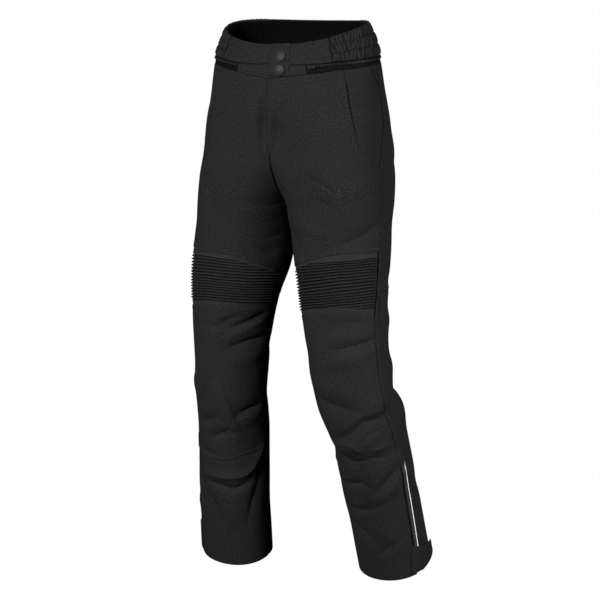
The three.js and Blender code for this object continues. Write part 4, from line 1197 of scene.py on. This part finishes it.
def plated(name, dark, light, metal, gloss):
    """Plated metal with a fine uneven polish and small dents."""
    material, tree = blank_material(name)
    place = add(tree, "ShaderNodeTexCoord")
    scuffs = add(
        tree, "ShaderNodeTexNoise", {"Vector": place.outputs["Object"], "Scale": 420.0, "Detail": 6.0}
    )
    shine = add(tree, "ShaderNodeMapRange", {0: scuffs.outputs[0], 3: 0.5, 4: 0.64})
    tone = add(tree, "ShaderNodeValToRGB", {0: scuffs.outputs[0]})
    tone.color_ramp.elements[0].color = linear(dark)
    tone.color_ramp.elements[1].color = linear(light)
    dents = add(tree, "ShaderNodeBump", {"Height": scuffs.outputs[0], "Distance": 0.0001, "Strength": 0.3})
    shader = add(
        tree, "ShaderNodeBsdfPrincipled",
        {
            "Base Color": tone.outputs[0], "Metallic": metal, "Roughness": shine.outputs[0],
            "Normal": dents.outputs[0], "Specular IOR Level": gloss,
        },
    )
    add(tree, "ShaderNodeOutputMaterial", {0: shader.outputs[0]})
    return material


gunmetal = plated("gunmetal_plated_steel", "#1b1b1c", "#2a2a2b", 0.3, 0.14)
zinc = plated("zinc_slider", "#0b0b0c", "#1a1a1b", 0.2, 0.06)
SNAP_PROFILE = (
    (0.0, 3.3), (8.0, 3.3), (9.1, 3.6), (9.5, 4.2), (9.5, 4.9), (9.2, 5.4), (8.5, 5.75), (7.9, 5.7),
    (7.4, 5.9), (5.5, 6.7), (3.2, 7.25), (1.2, 7.45), (0.0, 7.48),
)
for name, at in (("snap_upper", -9.0), ("snap_lower", 16.0)):
    place = spot(1, at, -80.0, 0.0)
    out = spot(1, at, -80.0, 1.0) - place
    out /= np.linalg.norm(out)
    side_way = np.cross([0, 0, 1.0], out)
    side_way /= np.linalg.norm(side_way)
    up_way = np.cross(out, side_way)
    turns = np.linspace(0, 2 * np.pi, 49)[:-1]
    points = []
    rings = []
    for radius, height in SNAP_PROFILE:
        ring = []
        for turn in turns if radius else turns[:1]:
            ring.append(len(points))
            points.append(place + out * height + radius * (np.cos(turn) * side_way + np.sin(turn) * up_way))
        rings.append(ring)
    faces = []
    for low, high in zip(rings, rings[1:]):
        for i in range(48):
            ring = [
                low[i % len(low)], low[(i + 1) % len(low)], high[(i + 1) % len(high)], high[i % len(high)]
            ]
            faces.append(list(dict.fromkeys(ring)))
    mesh = bpy.data.meshes.new(f"{name}_dome")
    mesh.from_pydata((np.array(points) * MM).tolist(), [], faces)
    mesh.shade_smooth()
    mesh.materials.append(gunmetal)
    piece = bpy.data.objects.new(f"{name}_dome", mesh)
    bpy.context.scene.collection.objects.link(piece)
    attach(piece, "root")
    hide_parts(name)
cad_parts["jacket_zip_slider"].data.materials.clear()
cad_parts["jacket_zip_slider"].data.materials.append(zinc)

# Stitches: black polyester thread in lockstitch, 3.2 mm a stitch, a little lighter than the cloth.
thread = smooth_plastic("polyester_thread", ("#1d1d1e", "#2c2c2d"), 0.6, 1500.0, 0.08)
for group, paths in stitch_lines.items():
    piece = in_rows(f"stitches_{group}", paths, (0.0, 0.0, 1.0), (0.55, 0.55, 2.5), 3.2, thread, True)

# Studio: a white lit floor well below the hems, as in a cut-out picture, whose light doesn't reach
# the cloth, one soft light from the front and a fill from the wearer's left.
floor_mesh = bpy.data.meshes.new("studio_floor")
floor_mesh.from_pydata(
    [(-30, -30, -1.6), (30, -30, -1.6), (30, 30, -1.6), (-30, 30, -1.6)], [], [(0, 1, 2, 3)]
)
floor = bpy.data.objects.new("studio_floor", floor_mesh)
bpy.context.scene.collection.objects.link(floor)
paper, tree = blank_material("lit_white_table")
shader = add(
    tree, "ShaderNodeBsdfPrincipled",
    {
        "Base Color": linear("#000000"), "Roughness": 0.95, "Emission Color": linear("#ffffff"),
        "Emission Strength": 1.0,
    },
)
add(tree, "ShaderNodeOutputMaterial", {0: shader.outputs[0]})
floor_mesh.materials.append(paper)
floor.visible_diffuse = False
floor.visible_glossy = False
world = bpy.data.worlds.new("studio")
world.use_nodes = True
world.node_tree.nodes["Background"].inputs[0].default_value = (1, 1, 1, 1)
world.node_tree.nodes["Background"].inputs[1].default_value = 0.05
scene = bpy.context.scene
scene.world = world
scene.view_settings.view_transform = "Standard"
for name, place, aim, size, power in (
    ("key", (-0.35, -4.35, 1.8), (0, 0, -0.6), 1.0, 33),
    ("fill", (4.2, 0.4, 0.2), (0, 0, -0.6), 1.4, 18),
):
    lamp = bpy.data.lights.new(name, "AREA")
    lamp.energy = power
    lamp.size = size
    lamp.spread = np.radians(45)
    light = bpy.data.objects.new(name, lamp)
    light.location = place
    light.rotation_euler = (Vector(aim) - Vector(place)).to_track_quat("-Z", "Y").to_euler()
    scene.collection.objects.link(light)
lens = bpy.data.cameras.new("camera")
lens.lens = 1626 / 600 * 36
lens.sensor_width = 36
lens.shift_x = 3.5 / 600
camera = bpy.data.objects.new("camera", lens)
azimuth = np.radians(25.0)
pitch = np.radians(17.3)
camera.location = (np.sin(azimuth) * 2.9, -np.cos(azimuth) * 2.9, 0.42)
heading = Vector((-np.sin(azimuth) * np.cos(pitch), np.cos(azimuth) * np.cos(pitch), -np.sin(pitch)))
camera.rotation_euler = heading.to_track_quat("-Z", "Y").to_euler()
scene.collection.objects.link(camera)
scene.camera = camera
